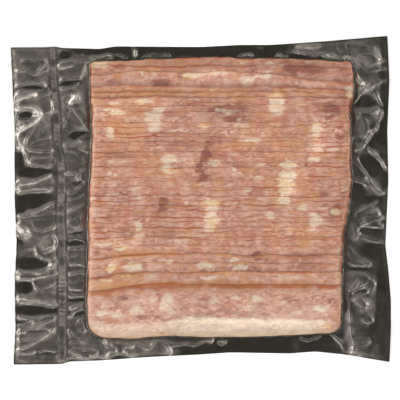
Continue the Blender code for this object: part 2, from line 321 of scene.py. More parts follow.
# Folds of the border: height, width, then points along the crest
FOLDS = [
    # wide end, beyond the weld
    (1.2, 0.7, [(-181, 138.5), (-171, 139.8), (-165, 138.2), (-160, 139.8), (-153, 137.8)]),
    (1.4, 0.8, [(-153, 137.8), (-160, 131.5), (-165.5, 125.5), (-175, 129.5), (-186.3, 127.8)]),
    (0.7, 0.7, [(-165.5, 125.5), (-159, 127.5), (-151, 132.5)]),
    (1.6, 1.0, [(-187, 111.5), (-176, 115.8), (-165, 117.5), (-152, 111.5)]),
    (0.8, 0.7, [(-183, 110), (-168, 109), (-152, 110.5)]),
    (2.2, 1.5, [(-185.5, 95.5), (-181, 101.5), (-173, 103.5), (-168, 106.5), (-165, 101.5)]),
    (0.8, 0.8, [(-165, 101.5), (-155, 105.5), (-149, 107.5)]),
    (2.6, 1.6, [(-185.5, 91.5), (-175, 92.5), (-166, 91.5), (-160, 85.5), (-165.5, 79.5), (-176, 72.5), (-184, 67)]),
    (1.0, 0.7, [(-160, 85.5), (-153, 88.5), (-147, 91.5)]),
    (1.8, 1.0, [(-165.5, 78.5), (-168, 71.5), (-175, 59.5), (-175.5, 54.5), (-171.3, 50.5), (-161.3, 48.5), (-148, 49.5)]),
    (1.3, 1.3, [(-185, 71.5), (-183, 61.5), (-177, 52.5), (-173, 41.5), (-170, 34.5)]),
    (1.2, 0.8, [(-175, 52.8), (-165, 59.5), (-150, 63.5)]),
    (0.8, 0.6, [(-171, 52.5), (-159, 54.5), (-149, 58.5)]),
    (1.5, 0.9, [(-148, 44.5), (-166.3, 42), (-170, 38.5), (-166.3, 35.5), (-148, 34.5)]),
    (2.2, 1.5, [(-186.3, 14.5), (-180.5, 16.5), (-166.3, 18.5), (-149, 26.5)]),
    (1.8, 1.0, [(-186.3, 11.5), (-180, 8.5), (-162, 11.5), (-147, 11.5)]),
    (1.0, 0.7, [(-177, 13.5), (-161, 15.5), (-147, 19.5)]),
    (1.9, 0.9, [(-184.7, -16.5), (-171.3, -15.5), (-163, -10.5), (-145.5, -1.5)]),
    (1.2, 0.7, [(-171.3, -15.5), (-160, -14), (-145, -12.5)]),
    (0.8, 0.6, [(-169, -19.5), (-159, -18.5), (-145, -17)]),
    (1.3, 0.9, [(-170.5, -17.2), (-169, -25.5), (-164, -29.5), (-155, -30.5), (-144, -25.5)]),
    (2.0, 1.4, [(-184, -24.5), (-177, -28.5), (-170, -35.5)]),
    (1.2, 1.0, [(-170, -35.5), (-177, -37.5), (-183, -36.5)]),
    (0.8, 0.7, [(-167, -36.5), (-157, -38.5), (-145, -33.5)]),
    (1.4, 0.9, [(-165.5, -43.5), (-164, -52.5), (-157, -58), (-145, -58)]),
    (1.0, 0.8, [(-159, -54.5), (-152, -51.5), (-145, -46.5)]),
    (1.8, 0.8, [(-185.5, -72.2), (-160, -73), (-153, -72.2), (-147, -63.5), (-143, -61.5)]),
    (1.6, 0.8, [(-185.5, -78), (-171.3, -78), (-160, -76.5), (-143, -72.2)]),
    (1.2, 0.8, [(-168, -80.5), (-162, -90.5), (-145.5, -92.2)]),
    (1.3, 0.8, [(-162, -90.5), (-154, -86.5), (-145, -82.2)]),
    (1.8, 0.9, [(-185, -97.2), (-166.3, -99.5), (-143, -105.5)]),
    (1.0, 0.7, [(-185, -101), (-165, -103), (-145, -107.5)]),
    (1.2, 0.8, [(-185.5, -117.2), (-163, -118), (-143, -115.5)]),
    (0.9, 0.7, [(-184, -124.5), (-173, -121.5), (-163, -118.5)]),
    (1.7, 0.9, [(-185, -133.5), (-168, -127.2), (-145, -117.2)]),
    (1.5, 0.9, [(-185, -139.5), (-161.3, -138), (-145, -127.2)]),
    (1.4, 0.9, [(-185.5, -150.5), (-168, -143), (-153, -133.5)]),
    (1.0, 0.9, [(-183, -152.5), (-176, -153), (-165, -151.5)]),
    (0.8, 0.8, [(-163, -152.5), (-155, -149.5), (-144, -151.5)]),
    # between the weld and the slices
    (1.3, 0.9, [(-143, 132), (-136.3, 137.8), (-123, 138.5)]),
    (1.1, 1.6, [(-141, 131.5), (-135, 133.5), (-128, 134.5)]),
    (1.7, 0.8, [(-142, 116.5), (-138, 120.5), (-121.3, 122.8), (-116.3, 134.5), (-103, 142.5)]),
    (1.3, 0.8, [(-141.3, 111.5), (-133, 111.5), (-121.3, 117)]),
    (1.7, 1.8, [(-130.5, 96.5), (-124, 103.5)]),
    (1.1, 1.0, [(-135, 93.5), (-127, 90.5), (-111, 68.5)]),
    (0.8, 0.6, [(-139, 100.5), (-135, 102.5), (-132, 99.5), (-135, 96.5), (-139, 97.5)]),
    (0.9, 0.6, [(-139, 91.5), (-134, 93), (-129, 90.5), (-131, 86.5), (-139, 86.5)]),
    (0.8, 0.6, [(-137, 81.5), (-133, 77.5), (-137, 72.5)]),
    (1.5, 0.8, [(-138, 54.5), (-128, 54.5), (-120, 62), (-110.5, 65.5)]),
    (1.4, 0.8, [(-128, 54.5), (-110, 47.8)]),
    (1.0, 0.7, [(-136, 49.5), (-126, 48.5), (-119, 41.5), (-115, 31.5)]),
    (1.2, 0.8, [(-135.5, 25.5), (-126.3, 26.5), (-122, 21.5), (-120, 29.5), (-114, 32.5)]),
    (1.1, 0.8, [(-134, 8.5), (-127, 7.5), (-122, 13.5), (-111, 20.5)]),
    (1.0, 0.7, [(-133, 0.5), (-123, 3.5), (-113, 10.5)]),
    (1.2, 0.8, [(-134, -12.5), (-124, -7.5), (-113, 0.5)]),
    (1.2, 0.8, [(-132, -22.5), (-123, -17.5), (-113, -6.5)]),
    (0.9, 0.7, [(-133, -32.5), (-123, -28.5), (-114, -22.5)]),
    (1.0, 0.7, [(-133, -40.5), (-127, -38.5), (-119, -39.5), (-114, -43.5)]),
    (0.9, 0.7, [(-133, -47.5), (-126, -48.5), (-115, -46.5)]),
    (0.8, 0.6, [(-132, -56.5), (-123, -54.5), (-115, -56.5)]),
    (0.9, 0.7, [(-132, -64.5), (-123, -62.5), (-115, -65.5)]),
    (1.1, 0.7, [(-132, -74.5), (-120, -71.5), (-114, -73.5)]),
    (0.8, 0.6, [(-132, -81.5), (-123, -80.5), (-115, -83.5)]),
    (1.0, 0.7, [(-132, -88.5), (-117, -89)]),
    (0.9, 0.7, [(-132, -96.5), (-123, -95.5), (-115, -93.5)]),
    (1.2, 0.7, [(-132, -108.5), (-123, -105.5), (-115, -101.5)]),
    (0.9, 0.7, [(-133, -118.5), (-126, -111.5), (-117, -106.5)]),
    (1.1, 0.8, [(-126, -127.5), (-121, -119.5), (-116, -124.5), (-117, -131.5), (-126, -127.5)]),
    (0.9, 0.7, [(-133, -128.5), (-129, -135.5), (-121, -139.5)]),
    (1.0, 0.8, [(-132, -142.5), (-124, -141.5), (-117, -143.5)]),
    (1.4, 0.9, [(-133, -150.5), (-122, -153.5), (-111, -159.5)]),
    (0.9, 0.7, [(-128, -147.5), (-117, -149.5), (-107, -148.5)]),
    (1.1, 0.8, [(-96, -136.5), (-92, -144.5), (-84, -149.5)]),
    # far side and the far right corner
    (1.6, 0.9, [(92, 148), (105, 147), (113.5, 144.5), (118.5, 146.5), (132.5, 145.5), (142, 141.5), (151, 135.5), (156, 126.5), (161, 120.5), (172, 116.5), (183, 119.5)]),
    (1.3, 0.8, [(137.5, 157.5), (137.5, 150.5), (144, 145), (148.5, 143.5), (153.5, 149.5), (158, 148.5), (162, 143.5), (172, 147.5), (176, 152)]),
    (1.1, 0.9, [(144, 156.5), (155, 155.5), (171, 151.5), (176, 152)]),
    (1.0, 0.8, [(162, 143.5), (159, 135.5), (165, 131.5), (175, 137.5), (185, 139.5)]),
    (0.9, 1.0, [(161, 127.5), (171, 129.5), (185, 131.5)]),
    (1.0, 0.9, [(151, 135.5), (146, 149.5), (145, 157.5)]),
    (0.9, 0.6, [(-115, 138.5), (-108, 141), (-101, 143.5), (-93, 146), (-87, 144)]),
    (0.7, 0.5, [(-113, 137.5), (-106, 139), (-99, 138.5), (-91, 140.5), (-87, 143.5)]),
    (0.7, 0.5, [(-85, 145.5), (-80, 144.5), (-73, 141)]),
    (0.8, 0.5, [(-59, 141), (-55, 144), (-48, 145.5), (-41, 145), (-33, 145.2), (-30, 141.5)]),
    (0.6, 0.5, [(-54, 142), (-46, 143), (-38, 142.5)]),
    (0.8, 0.5, [(37, 143), (43, 145.5), (49, 146), (53, 142.5)]),
    (0.8, 0.5, [(74, 142.5), (78, 145.7), (82, 143), (87, 143.5)]),
    (0.6, 0.5, [(-25, 141.5), (-17, 143), (-11, 142)]),
    (0.8, 0.5, [(112, 150.5), (116, 151.5), (118, 148.5), (115, 146.5), (112, 148)]),
    (0.7, 1.6, [(95, 153.5), (107, 154), (121, 154.5)]),
    (0.7, 1.2, [(-65, 149.5), (-65, 143.5)]),
    # right side
    (1.9, 2.0, [(164, 116.5), (171, 111.5)]),
    (1.3, 0.8, [(162, 111.5), (158, 104.5), (152, 96.5)]),
    (1.1, 0.7, [(173, 108.5), (177, 101.5), (181, 93.5)]),
    (2.0, 0.9, [(151, 86.5), (162, 87), (173, 88.5), (180, 90.5)]),
    (1.7, 0.9, [(180, 90.5), (180.5, 84.5), (175, 75.5), (170, 65.5), (164, 55.5)]),
    (1.6, 1.2, [(164, 55.5), (158, 52.5), (151, 49.5)]),
    (1.3, 1.3, [(165, 54.5), (172, 46.5), (180, 38.5), (186, 26.5)]),
    (1.4, 1.3, [(153, 45.5), (159, 34.5), (165.5, 25.5), (171, 14.5), (180, 6.5), (187, 9.5)]),
    (0.9, 0.7, [(151, 20.5), (163, 16.5), (172, 10.5)]),
    (1.0, 0.9, [(155, 69.5), (149, 58.5)]),
    (1.1, 1.0, [(177, -0.5), (165, -8.5), (156, -13.5), (156, -18.5)]),
    (1.4, 1.1, [(156, -14.5), (166, -18.5), (177, -14), (173, -10.5), (163, -12.5)]),
    (1.3, 1.0, [(155, -26.5), (166, -22.5), (180, -17.5), (187, -19.5)]),
    (0.8, 1.4, [(159, -35.5), (171, -40.5), (183, -42.5)]),
    (1.2, 0.9, [(144, -38.5), (150, -50.5), (158, -59.5), (169, -64.5), (157, -65), (143, -60.5)]),
    (0.9, 0.8, [(145, -48.5), (151, -58.5), (159, -63.5)]),
    (1.4, 0.9, [(143, -74), (160, -74.5), (167, -79), (160, -85.5), (145, -95.5)]),
    (1.2, 0.9, [(167, -78.5), (173, -84.5), (167, -93.5), (155, -95.5)]),
    (1.1, 0.9, [(159, -75.5), (151, -86.5), (144, -92.5)]),
    (1.6, 1.4, [(146, -98.5), (148.5, -111.5), (150, -124)]),
    (1.2, 1.0, [(150, -98.5), (157, -103.5), (165, -106.5)]),
    (1.2, 0.9, [(158, -117), (165.5, -121), (171.5, -121), (165, -112.5), (158, -109.5)]),
    (1.7, 1.0, [(149, -124.5), (151.5, -137.5), (154, -144.5), (160, -144.5), (169, -140.5)]),
    (1.3, 1.8, [(153, -146.5), (153, -156.5)]),
    (0.9, 0.8, [(129, -133.5), (135, -137.5), (142, -142.5)]),
    # near side
    (0.9, 0.6, [(-97, -139), (-96.5, -142.5), (-92, -147.5), (-88, -149), (-90, -144.5), (-95, -139.5)]),
    (0.8, 0.8, [(-85, -143.5), (-79, -142), (-73, -144)]),
    (1.2, 0.9, [(-76, -148), (-71, -147), (-67, -145.5)]),
    (0.9, 0.6, [(-66, -141.5), (-61, -144.5), (-55, -148), (-51, -147.5), (-47, -142.5), (-43, -140)]),
    (0.9, 0.6, [(-41, -141), (-34, -145), (-31, -150.5), (-30, -156.5)]),
    (1.3, 0.8, [(-94.5, -160.5), (-92.5, -155), (-88, -151.5), (-83, -150.5)]),
    (1.3, 0.8, [(-77, -150.5), (-74, -154.5), (-70, -157), (-64, -158.5)]),
    (0.9, 0.5, [(-35, -142), (-26, -144.8), (-16, -143.5), (-6, -144.8), (2, -141.5), (7, -139.5), (10, -142.5)]),
    (0.7, 0.5, [(6, -140.5), (12, -139), (9, -143)]),
    (0.8, 0.5, [(17, -142), (21, -140.3), (25, -142), (20, -144), (17, -142)]),
    (0.9, 0.5, [(98, -135.5), (100.5, -138.5), (106, -140), (113, -138.5), (120, -135)]),
    (0.9, 0.7, [(131, -134.5), (136, -139.5), (140, -143), (144, -150.5)]),
    (0.8, 0.7, [(-113, -151.5), (-107, -150), (-104, -152.5), (-110, -154.5), (-113, -151.5)]),
]

# Smooth places where the two films lie flat on each other: x, y, half width, half height
FLAT = [
    (-168, 112.5, 17, 3), (-165, 27.5, 18, 5.5), (-165, -0.5, 22, 8), (-181, 39.5, 5, 9), (-176, 84.5, 8, 5), (-171, -63.5, 18, 6.5),
    (-176, -86.5, 9, 6.5), (-165, -109.5, 24, 5.5), (-155, -153, 12, 2), (-177, -122.5, 8, 2.2), (-181, -8.5, 6, 5), (-182, -43.5, 5, 7),
    (-165, -130.5, 14, 1.5), (-131, 117.5, 12, 4.5), (-121, 64.5, 11, 5), (-125, -41.5, 10, 4), (-125, -68.5, 9, 2.5), (-123, -92, 8, 2),
    (-123, -99.5, 9, 2.2), (-125, -112.5, 8, 3), (-135, 144.5, 6, 4), (-123, 16.5, 6, 3), (-126, -32.5, 7, 2), (-101, 148.5, 30, 3.5),
    (-1, 149.5, 80, 4), (60, -147.5, 78, 6), (-81, -157.5, 9, 2.8), (163, 98.5, 12, 6.5), (171, 59.5, 9, 9), (169, 34.5, 12, 12),
    (171, -0.5, 12, 5), (169, -30.5, 14, 4), (173, -50.5, 13, 9), (159, -68.5, 12, 2.5), (182, 69.5, 5, 40), (182, -100.5, 7, 50),
    (157, -90.5, 9, 3), (177, -130.5, 10, 12), (156, 9.5, 8, 9), (182, 127.5, 5, 4), (117, -149.5, 12, 5), (61, 152.5, 30, 3),
]


# Places that lie tilted: x, y, half width, half height, rise along x and along y
TILTED = [
    (-177, 99.5, 9, 6, 0.0, 0.3), (-179, 79.5, 7, 8, 0.25, 0.15), (-179, 59.5, 6, 7, -0.3, 0.0), (-163, 15.5, 16, 4, 0.0, -0.25), (-179, -30.5, 6, 6, 0.25, -0.2),
    (-155, -41.5, 10, 8, 0.15, -0.12), (-127, 100.5, 5, 6, 0.3, 0.15), (-123, 81.5, 11, 11, 0.12, 0.08), (-179, 121.5, 9, 5, 0.0, 0.16), (167, 113.5, 6, 4, -0.25, 0.2),
    (159, 72.5, 9, 12, 0.1, 0.12), (154, -83.5, 8, 6, 0.15, -0.15), (157, -105.5, 9, 9, 0.12, 0.15), (157, -150.5, 8, 8, -0.2, 0.0), (165, 139.5, 12, 8, 0.1, 0.12),
    (-173, 147.5, 18, 5, 0.0, 0.14), (-161, 71.5, 10, 9, -0.14, 0.05), (-155, 93.5, 7, 8, 0.12, -0.06), (-155, -21.5, 9, 5, 0.0, 0.15), (-126, -20.5, 8, 8, 0.12, -0.1),
    (-125, -83.5, 8, 5, 0.0, 0.12), (-153, -122.5, 8, 5, 0.0, -0.15), (-123, 133.5, 9, 5, 0.0, 0.2), (151, -32.5, 7, 8, 0.2, 0.0), (174, -28.5, 10, 5, 0.0, 0.14),
]


# Soft sheen of the crumpled film: strength, half width, then points along the stroke
SHEEN = [
    # wide end
    (0.56, 8, [(-187, 143.5), (-153, 143.5)]), (0.40, 5, [(-187, 133.5), (-166, 131.5), (-156, 135.5)]),
    (0.62, 5, [(-189, 123.5), (-171, 120.5)]), (0.90, 3.5, [(-186, 98.5), (-177, 102.5), (-165, 104.5)]),
    (1.10, 2.5, [(-185, 90.5), (-171, 91.5), (-161, 87.5), (-165, 77.5), (-176, 71.5), (-184, 65.5)]), (0.80, 5, [(-183, 64.5), (-179, 54.5)]),
    (0.62, 8, [(-176, 99.5), (-153, 95.5)]), (0.58, 9, [(-156, 81.5), (-163, 69.5)]),
    (0.50, 4, [(-173, 52.5), (-151, 61.5)]), (0.60, 3, [(-167, 39.5), (-149, 41.5)]),
    (0.70, 4, [(-181, 13.5), (-165, 16.5), (-149, 21.5)]), (0.80, 2, [(-186, 11.5), (-151, 10.5)]),
    (0.50, 6, [(-165, -14.5), (-149, -5.5)]), (0.35, 4, [(-171, -21.5), (-151, -20.5)]),
    (1.20, 2.2, [(-184, -26.5), (-177, -32.5), (-171, -35.5)]), (0.50, 6, [(-181, -48.5), (-167, -46.5), (-163, -38.5), (-149, -33.5)]),
    (0.80, 3, [(-177, -50.5), (-167, -48.5)]), (0.95, 1.8, [(-157, -52.5), (-149, -50.5)]),
    (0.45, 5, [(-149, -65.5), (-145, -70.5)]), (0.75, 2, [(-185, -72.5), (-171, -72.5), (-157, -73.5)]),
    (0.85, 1.5, [(-185, -78.5), (-171, -79.5), (-155, -75.5)]), (0.50, 4, [(-165, -88.5), (-147, -84.5)]),
    (0.75, 2.5, [(-185, -98.5), (-167, -99.5), (-149, -103.5)]), (0.45, 2.5, [(-185, -118.5), (-151, -116.5)]),
    (0.55, 2.5, [(-183, -125.5), (-165, -122.5)]), (0.50, 3, [(-177, -136.5), (-161, -130.5), (-149, -126.5)]),
    (0.70, 5, [(-157, -138.5), (-147, -133.5)]), (0.50, 4, [(-185, -142.5), (-167, -144.5), (-151, -145.5)]),
    (0.40, 5, [(-185, -157.5), (-147, -157.5)]), (0.90, 1.5, [(-181, -152.5), (-176, -152.5)]),
    (0.60, 3, [(-172, -151.5), (-166, -151.5)]),
    # between the weld and the slices
    (0.60, 3, [(-139, 133.5), (-129, 134.5)]), (0.50, 4, [(-137, 125.5), (-121, 131.5)]),
    (0.50, 3, [(-141, 107.5), (-131, 107.5)]), (1.00, 3.5, [(-131, 96.5), (-125, 104.5)]),
    (0.45, 8, [(-125, 87.5), (-117, 77.5)]), (0.35, 6, [(-135, 81.5), (-129, 73.5)]),
    (0.30, 4, [(-121, 101.5), (-115, 95.5)]), (0.60, 3, [(-115, 56.5), (-111, 49.5)]),
    (0.35, 5, [(-133, 49.5), (-121, 39.5)]), (0.45, 5, [(-133, 27.5), (-125, 19.5)]),
    (0.80, 1.6, [(-125, 23.5), (-119, 29.5)]), (0.50, 5, [(-131, -28.5), (-117, -15.5)]),
    (0.50, 3, [(-129, -5.5), (-117, 3.5)]), (0.45, 4, [(-133, -48.5), (-127, -50.5)]),
    (0.45, 5, [(-131, -62.5), (-115, -58.5)]), (0.50, 6, [(-131, -72.5), (-115, -68.5)]),
    (0.40, 5, [(-131, -90.5), (-115, -90.5)]), (0.35, 4, [(-131, -112.5), (-117, -105.5)]),
    (0.50, 4, [(-121, -130.5), (-115, -135.5)]), (0.60, 3, [(-131, -132.5), (-125, -134.5)]),
    (0.40, 4, [(-135, -124.5), (-127, -118.5)]), (0.60, 2, [(-131, -145.5), (-117, -141.5)]),
    (0.50, 3, [(-131, -153.5), (-123, -152.5)]), (0.60, 3, [(-113, -152.5), (-107, -150.5)]),
    (0.45, 4, [(-125, -158.5), (-111, -164.5)]),
    # far right corner
    (0.45, 4, [(145, 153.5), (159, 155.5)]), (0.95, 2.2, [(165, 151.5), (175, 150.5)]),
    (0.40, 4, [(151, 141.5), (161, 139.5), (171, 143.5)]), (0.50, 2.5, [(171, 135.5), (179, 138.5)]),
    (0.45, 3, [(164, 127.5), (183, 129.5)]), (0.50, 5, [(157, 121.5), (163, 117.5)]),
    (1.00, 3.5, [(163, 115.5), (171, 113.5)]), (0.60, 3, [(171, 117.5), (183, 118.5)]),
    (0.50, 3, [(169, 105.5), (175, 99.5)]),
    # right side
    (0.38, 9, [(156, 79.5), (167, 81.5)]), (0.42, 7, [(155, 66.5), (161, 61.5)]),
    (1.00, 1.8, [(153, 68.5), (157, 70.5)]), (0.90, 1.5, [(177, 87.5), (180, 89.5)]),
    (0.70, 2.5, [(153, 51.5), (163, 54.5)]), (0.35, 4, [(175, 54.5), (183, 49.5)]),
    (0.45, 4, [(181, 39.5), (185, 31.5)]), (0.35, 3, [(153, 41.5), (161, 27.5)]),
    (0.60, 3, [(165, 23.5), (173, 13.5)]), (0.90, 2, [(175, 11.5), (179, 7.5), (185, 10.5)]),
    (0.30, 5, [(153, 9.5), (159, -0.5)]), (0.35, 5, [(165, -5.5), (175, -3.5)]),
    (0.60, 2.5, [(159, -12.5), (169, -11.5), (177, -10.5)]), (0.45, 3, [(156, -20.5), (167, -19.5), (183, -17.5)]),
    (0.30, 6, [(164, -32.5), (179, -40.5)]), (0.25, 6, [(175, -58.5), (177, -64.5)]),
    (0.60, 4, [(146, -48.5), (151, -58.5)]), (0.50, 3, [(155, -60.5), (165, -63.5)]),
    (0.50, 5, [(147, -80.5), (161, -76.5)]), (0.40, 4, [(151, -90.5), (167, -83.5)]),
    (0.90, 2, [(153, -98.5), (156, -103.5)]), (0.45, 5, [(149, -112.5), (151, -125.5)]),
    (0.35, 8, [(161, -102.5), (157, -130.5)]), (0.55, 2.5, [(159, -117.5), (169, -119.5)]),
    (0.45, 6, [(147, -135.5), (154, -145.5)]), (0.25, 6, [(171, -135.5), (175, -145.5)]),
    (0.60, 3, [(153, -150.5), (153, -154.5)]), (0.25, 8, [(179, -100.5), (183, -140.5)]),
    # far side
    (0.50, 3, [(-109, 141.5), (-91, 143.5)]), (0.70, 2.5, [(-67, 152.5), (-67, 144.5)]),
    (0.30, 2, [(-53, 143.5), (-33, 143.5)]), (0.50, 2, [(42, 144.5), (50, 144.5)]),
    (0.40, 2, [(77, 144.5), (85, 143.5)]), (0.60, 5, [(97, 152.5), (117, 153.5)]),
    (0.60, 2.5, [(94, 149.5), (104, 149.5)]), (0.38, 5, [(127, 152.5), (135, 151.5)]),
    (0.40, 1.5, [(56, 152.5), (61, 152.5)]),
    # near side
    (0.40, 8, [(-109, -145.5), (-101, -152.5)]), (0.36, 8, [(-89, -145.5), (-51, -147.5)]),
    (0.50, 3, [(-83, -142.5), (-74, -143.5)]), (0.80, 2, [(-75, -147.5), (-67, -145.5)]),
    (0.50, 5, [(-61, -153.5), (-51, -150.5)]), (0.55, 4, [(-31, -152.5), (-23, -151.5)]),
    (0.45, 3, [(-41, -145.5), (-33, -150.5)]), (0.45, 2.5, [(-26, -141.5), (4, -141.5)]),
    (0.80, 1.5, [(7, -141.5), (12, -139.5)]), (0.50, 2, [(18, -141.5), (25, -141.5)]),
    (0.25, 4, [(95, -141.5), (95, -150.5)]), (0.40, 4, [(144, -130.5), (147, -145.5)]),
    (0.80, 1.6, [(-94, -158.5), (-92, -154.5)]), (0.75, 1.6, [(-76, -152.5), (-67, -158.5)]),
]


# Places on the slices where the film puckers a little and painted glints lighten the slices' colour: x, y, half width,
# half height
GLINTS = [
    (-10, 123, 24, 6), (50, 122, 18, 7), (105, 112, 18, 4), (-84, 112, 20, 4), (-90, 120, 14, 5), (-90, -109, 15, 9), (-40, -104, 8, 10), (-5, -118.5, 14, 3),
    (60, -119.5, 50, 2.5), (42, -105, 12, 6), (126, -106, 14, 8), (132, 74, 14, 12), (112, 50, 10, 10), (60, 44, 26, 5), (-80, -40, 24, 8), (40, 66, 40, 4),
    (84, 12, 12, 18), (10, -20, 10, 12), (-30, 80, 20, 3), (-60, 10, 16, 4), (20, -68, 60, 4), (100, -98, 30, 4), (-60, 96, 24, 3), (90, -30, 30, 6),
]


def curve_points(points, gap=0.5):
    """Points close together along a smooth curve through the given ones."""
    p = np.array(points, float)
    ext = np.vstack([2 * p[0] - p[1], p, 2 * p[-1] - p[-2]])
    out = []
    for i in range(1, len(ext) - 2):
        p0, p1, p2, p3 = ext[i - 1 : i + 3]
        n = max(2, int(np.hypot(*(p2 - p1)) / gap))
        t = np.arange(n)[:, None] / n
        tight = 0.35  # folds of film run nearly straight between their corners
        m1, m2 = (p2 - p0) * tight, (p3 - p1) * tight
        out.append(
            (2 * t**3 - 3 * t**2 + 1) * p1
            + (t**3 - 2 * t**2 + t) * m1
            + (-2 * t**3 + 3 * t**2) * p2
            + (t**3 - t**2) * m2
        )
    out.append(p[-1:])
    return np.vstack(out)


def stamp(raster, points, heights, reach, profile):
    """Raises the raster to a crest along the points: the highest of what is there already."""
    x0, y0 = RX[0], RY[0]
    span = int(math.ceil(reach / CELL)) + 1
    ci = np.round((points[:, 0] - x0) / CELL).astype(int)
    cj = np.round((points[:, 1] - y0) / CELL).astype(int)
    for px, py, h, i, j in zip(points[:, 0], points[:, 1], heights, ci, cj):
        i0, i1 = max(i - span, 0), min(i + span + 1, len(RX))
        j0, j1 = max(j - span, 0), min(j + span + 1, len(RY))
        if i0 >= i1 or j0 >= j1:
            continue
        d = np.hypot(RX[i0:i1][None, :] - px, RY[j0:j1][:, None] - py)
        block = raster[j0:j1, i0:i1]
        np.maximum(block, h * profile(d / reach), out=block)


def blur(a, times=1):
    for _ in range(times):
        p = np.pad(a, 1, mode="edge")
        a = (
            4 * p[1:-1, 1:-1]
            + 2 * (p[:-2, 1:-1] + p[2:, 1:-1] + p[1:-1, :-2] + p[1:-1, 2:])
            + p[:-2, :-2] + p[:-2, 2:] + p[2:, :-2] + p[2:, 2:]
        ) / 16.0
    return a


def resample(a, ax, ay, x, y):
    """Value of a raster with axes ax, ay at any points, by straight interpolation."""
    fx = np.clip((x - ax[0]) / (ax[1] - ax[0]), 0, len(ax) - 1.001)
    fy = np.clip((y - ay[0]) / (ay[1] - ay[0]), 0, len(ay) - 1.001)
    i, j = fx.astype(int), fy.astype(int)
    u, v = fx - i, fy - j
    return (
        a[j, i] * (1 - u) * (1 - v) + a[j, i + 1] * u * (1 - v)
        + a[j + 1, i] * (1 - u) * v + a[j + 1, i + 1] * u * v
    )


def drape(under, pull, rounds):
    """A stretched film over an uneven surface: pulled down everywhere, held up where it touches.
    Solved on coarser rasters first, so that wide spans settle too."""
    levels = [(under, pull)]
    while min(levels[-1][0].shape) > 90:
        u, p = levels[-1]
        h, w = u.shape[0] // 2 * 2, u.shape[1] // 2 * 2
        blocks = u[:h, :w].reshape(h // 2, 2, w // 2, 2)
        pb = p[:h, :w].reshape(h // 2, 2, w // 2, 2)
        levels.append((blocks.max((1, 3)), pb.mean((1, 3)) * 4.0))
    film = levels[-1][0].copy()
    for depth, (u, p) in enumerate(reversed(levels)):
        if film.shape != u.shape:
            grown = np.repeat(np.repeat(film, 2, 0), 2, 1)
            film = u.copy()
            film[: grown.shape[0], : grown.shape[1]] = np.maximum(
                u[: grown.shape[0], : grown.shape[1]], blur(grown, 1)
            )
        for _ in range(rounds):
            around = np.pad(film, 1, mode="edge")
            mean = (around[:-2, 1:-1] + around[2:, 1:-1] + around[1:-1, :-2] + around[1:-1, 2:]) / 4.0
            film = np.maximum(u, film + 1.0 * (mean - p / 4.0 - film))
    return film


def meat_heights():
    """Height of the bare stack of slices on the raster, 0 where there is none."""
    top = np.zeros_like(GX)
    for k in range(COUNT):
        edge = edge_line(k, RX)
        reach = front_reach(RX) if k == FRONT else np.full(len(RX), 44.0)
        j0 = max(int((np.min(edge - reach) - RY[0]) / CELL) - 1, 0)
        j1 = min(int((np.max(edge) - RY[0]) / CELL) + 2, len(RY))
        x, y = GX[j0:j1], GY[j0:j1]
        d = edge[None, :] - y
        inside = (d >= 0) & (d <= reach[None, :]) & (x >= side_left(k, y)) & (x <= side_right(k, y))
        z = slice_top(k, x, np.maximum(d, 0)) - end_drop(k, x, y)
        top[j0:j1] = np.where(inside, np.maximum(top[j0:j1], z), top[j0:j1])
    return top


def spread_from(mask, steps):
    """Distance in mm outside a mask, up to a number of raster steps."""
    away = np.where(mask, 0.0, steps * CELL)
    grown = mask.copy()
    for i in range(steps):
        p = np.pad(grown, 1)
        side = p[:-2, 1:-1] | p[2:, 1:-1] | p[1:-1, :-2] | p[1:-1, 2:]
        if i % 2:
            side = side | p[:-2, :-2] | p[:-2, 2:] | p[2:, :-2] | p[2:, 2:]
        fresh = side & ~grown
        away[fresh] = (i + 0.5) * CELL * 1.1
        grown |= side
    return away


MEAT = meat_heights()
AWAY = spread_from(MEAT > 0, 20)
LIE = border_lie(GX, GY)
OUT = foot_distance(GX, GY)
WX, WL = weld_x(GY), weld_left(GY)

def window(x, y, places, soft):
    """1 inside the given oval places, 0 outside them."""
    total = np.zeros_like(x)
    wx = x + 1.2 * noise(x / 7.0, y / 7.0, 75)
    wy = y + 0.8 * noise(x / 7.0, y / 7.0, 77)
    for place in places:
        cx, cy, rx, ry = place[:4]
        q = np.sqrt(((wx - cx) / rx) ** 2 + ((wy - cy) / ry) ** 2)
        total = np.maximum(total, smooth(1.0 + soft, 1.0 - soft, q))
    return total


# where the film is loose and crumpled, from 0, stuck down flat, to 1
beyond = smooth(1.0, -1.5, GX - WL)
between = smooth(-0.5, 1.5, GX - WX) * smooth(-98.0, -108.0, GX)
rightward = (GX > 120) * smooth(185.0, 176.0, GX) * smooth(-136.0, -128.0, GY) * smooth(150.0, 144.0, GY)
rightward = np.maximum(rightward, smooth(138.0, 146.0, GX) * smooth(185.0, 176.0, GX))
far_strip = smooth(145.0, 148.0, GY) * smooth(70.0, 100.0, GX) * smooth(184.0, 176.0, GX)
near_strip = smooth(-136.0, -140.0, GY) * smooth(-18.0, -34.0, GX)
near_strip = np.maximum(near_strip, smooth(-136.0, -140.0, GY) * smooth(120.0, 145.0, GX) * smooth(185.0, 176.0, GX))
loose = np.clip(np.maximum.reduce([beyond, between, rightward, far_strip, near_strip]), 0, 1) * (MEAT <= 0)
flat = window(GX, GY, FLAT, 0.25)
loose = loose * (1.0 - 0.95 * flat) * smooth(0.3, 1.2, AWAY)
outer = np.minimum.reduce([GX - left_side(GY), right_side(GY) - GX, GY - near_side(GX), top_side(GX) - GY])
loose = loose * smooth(0.0, 2.0, outer)

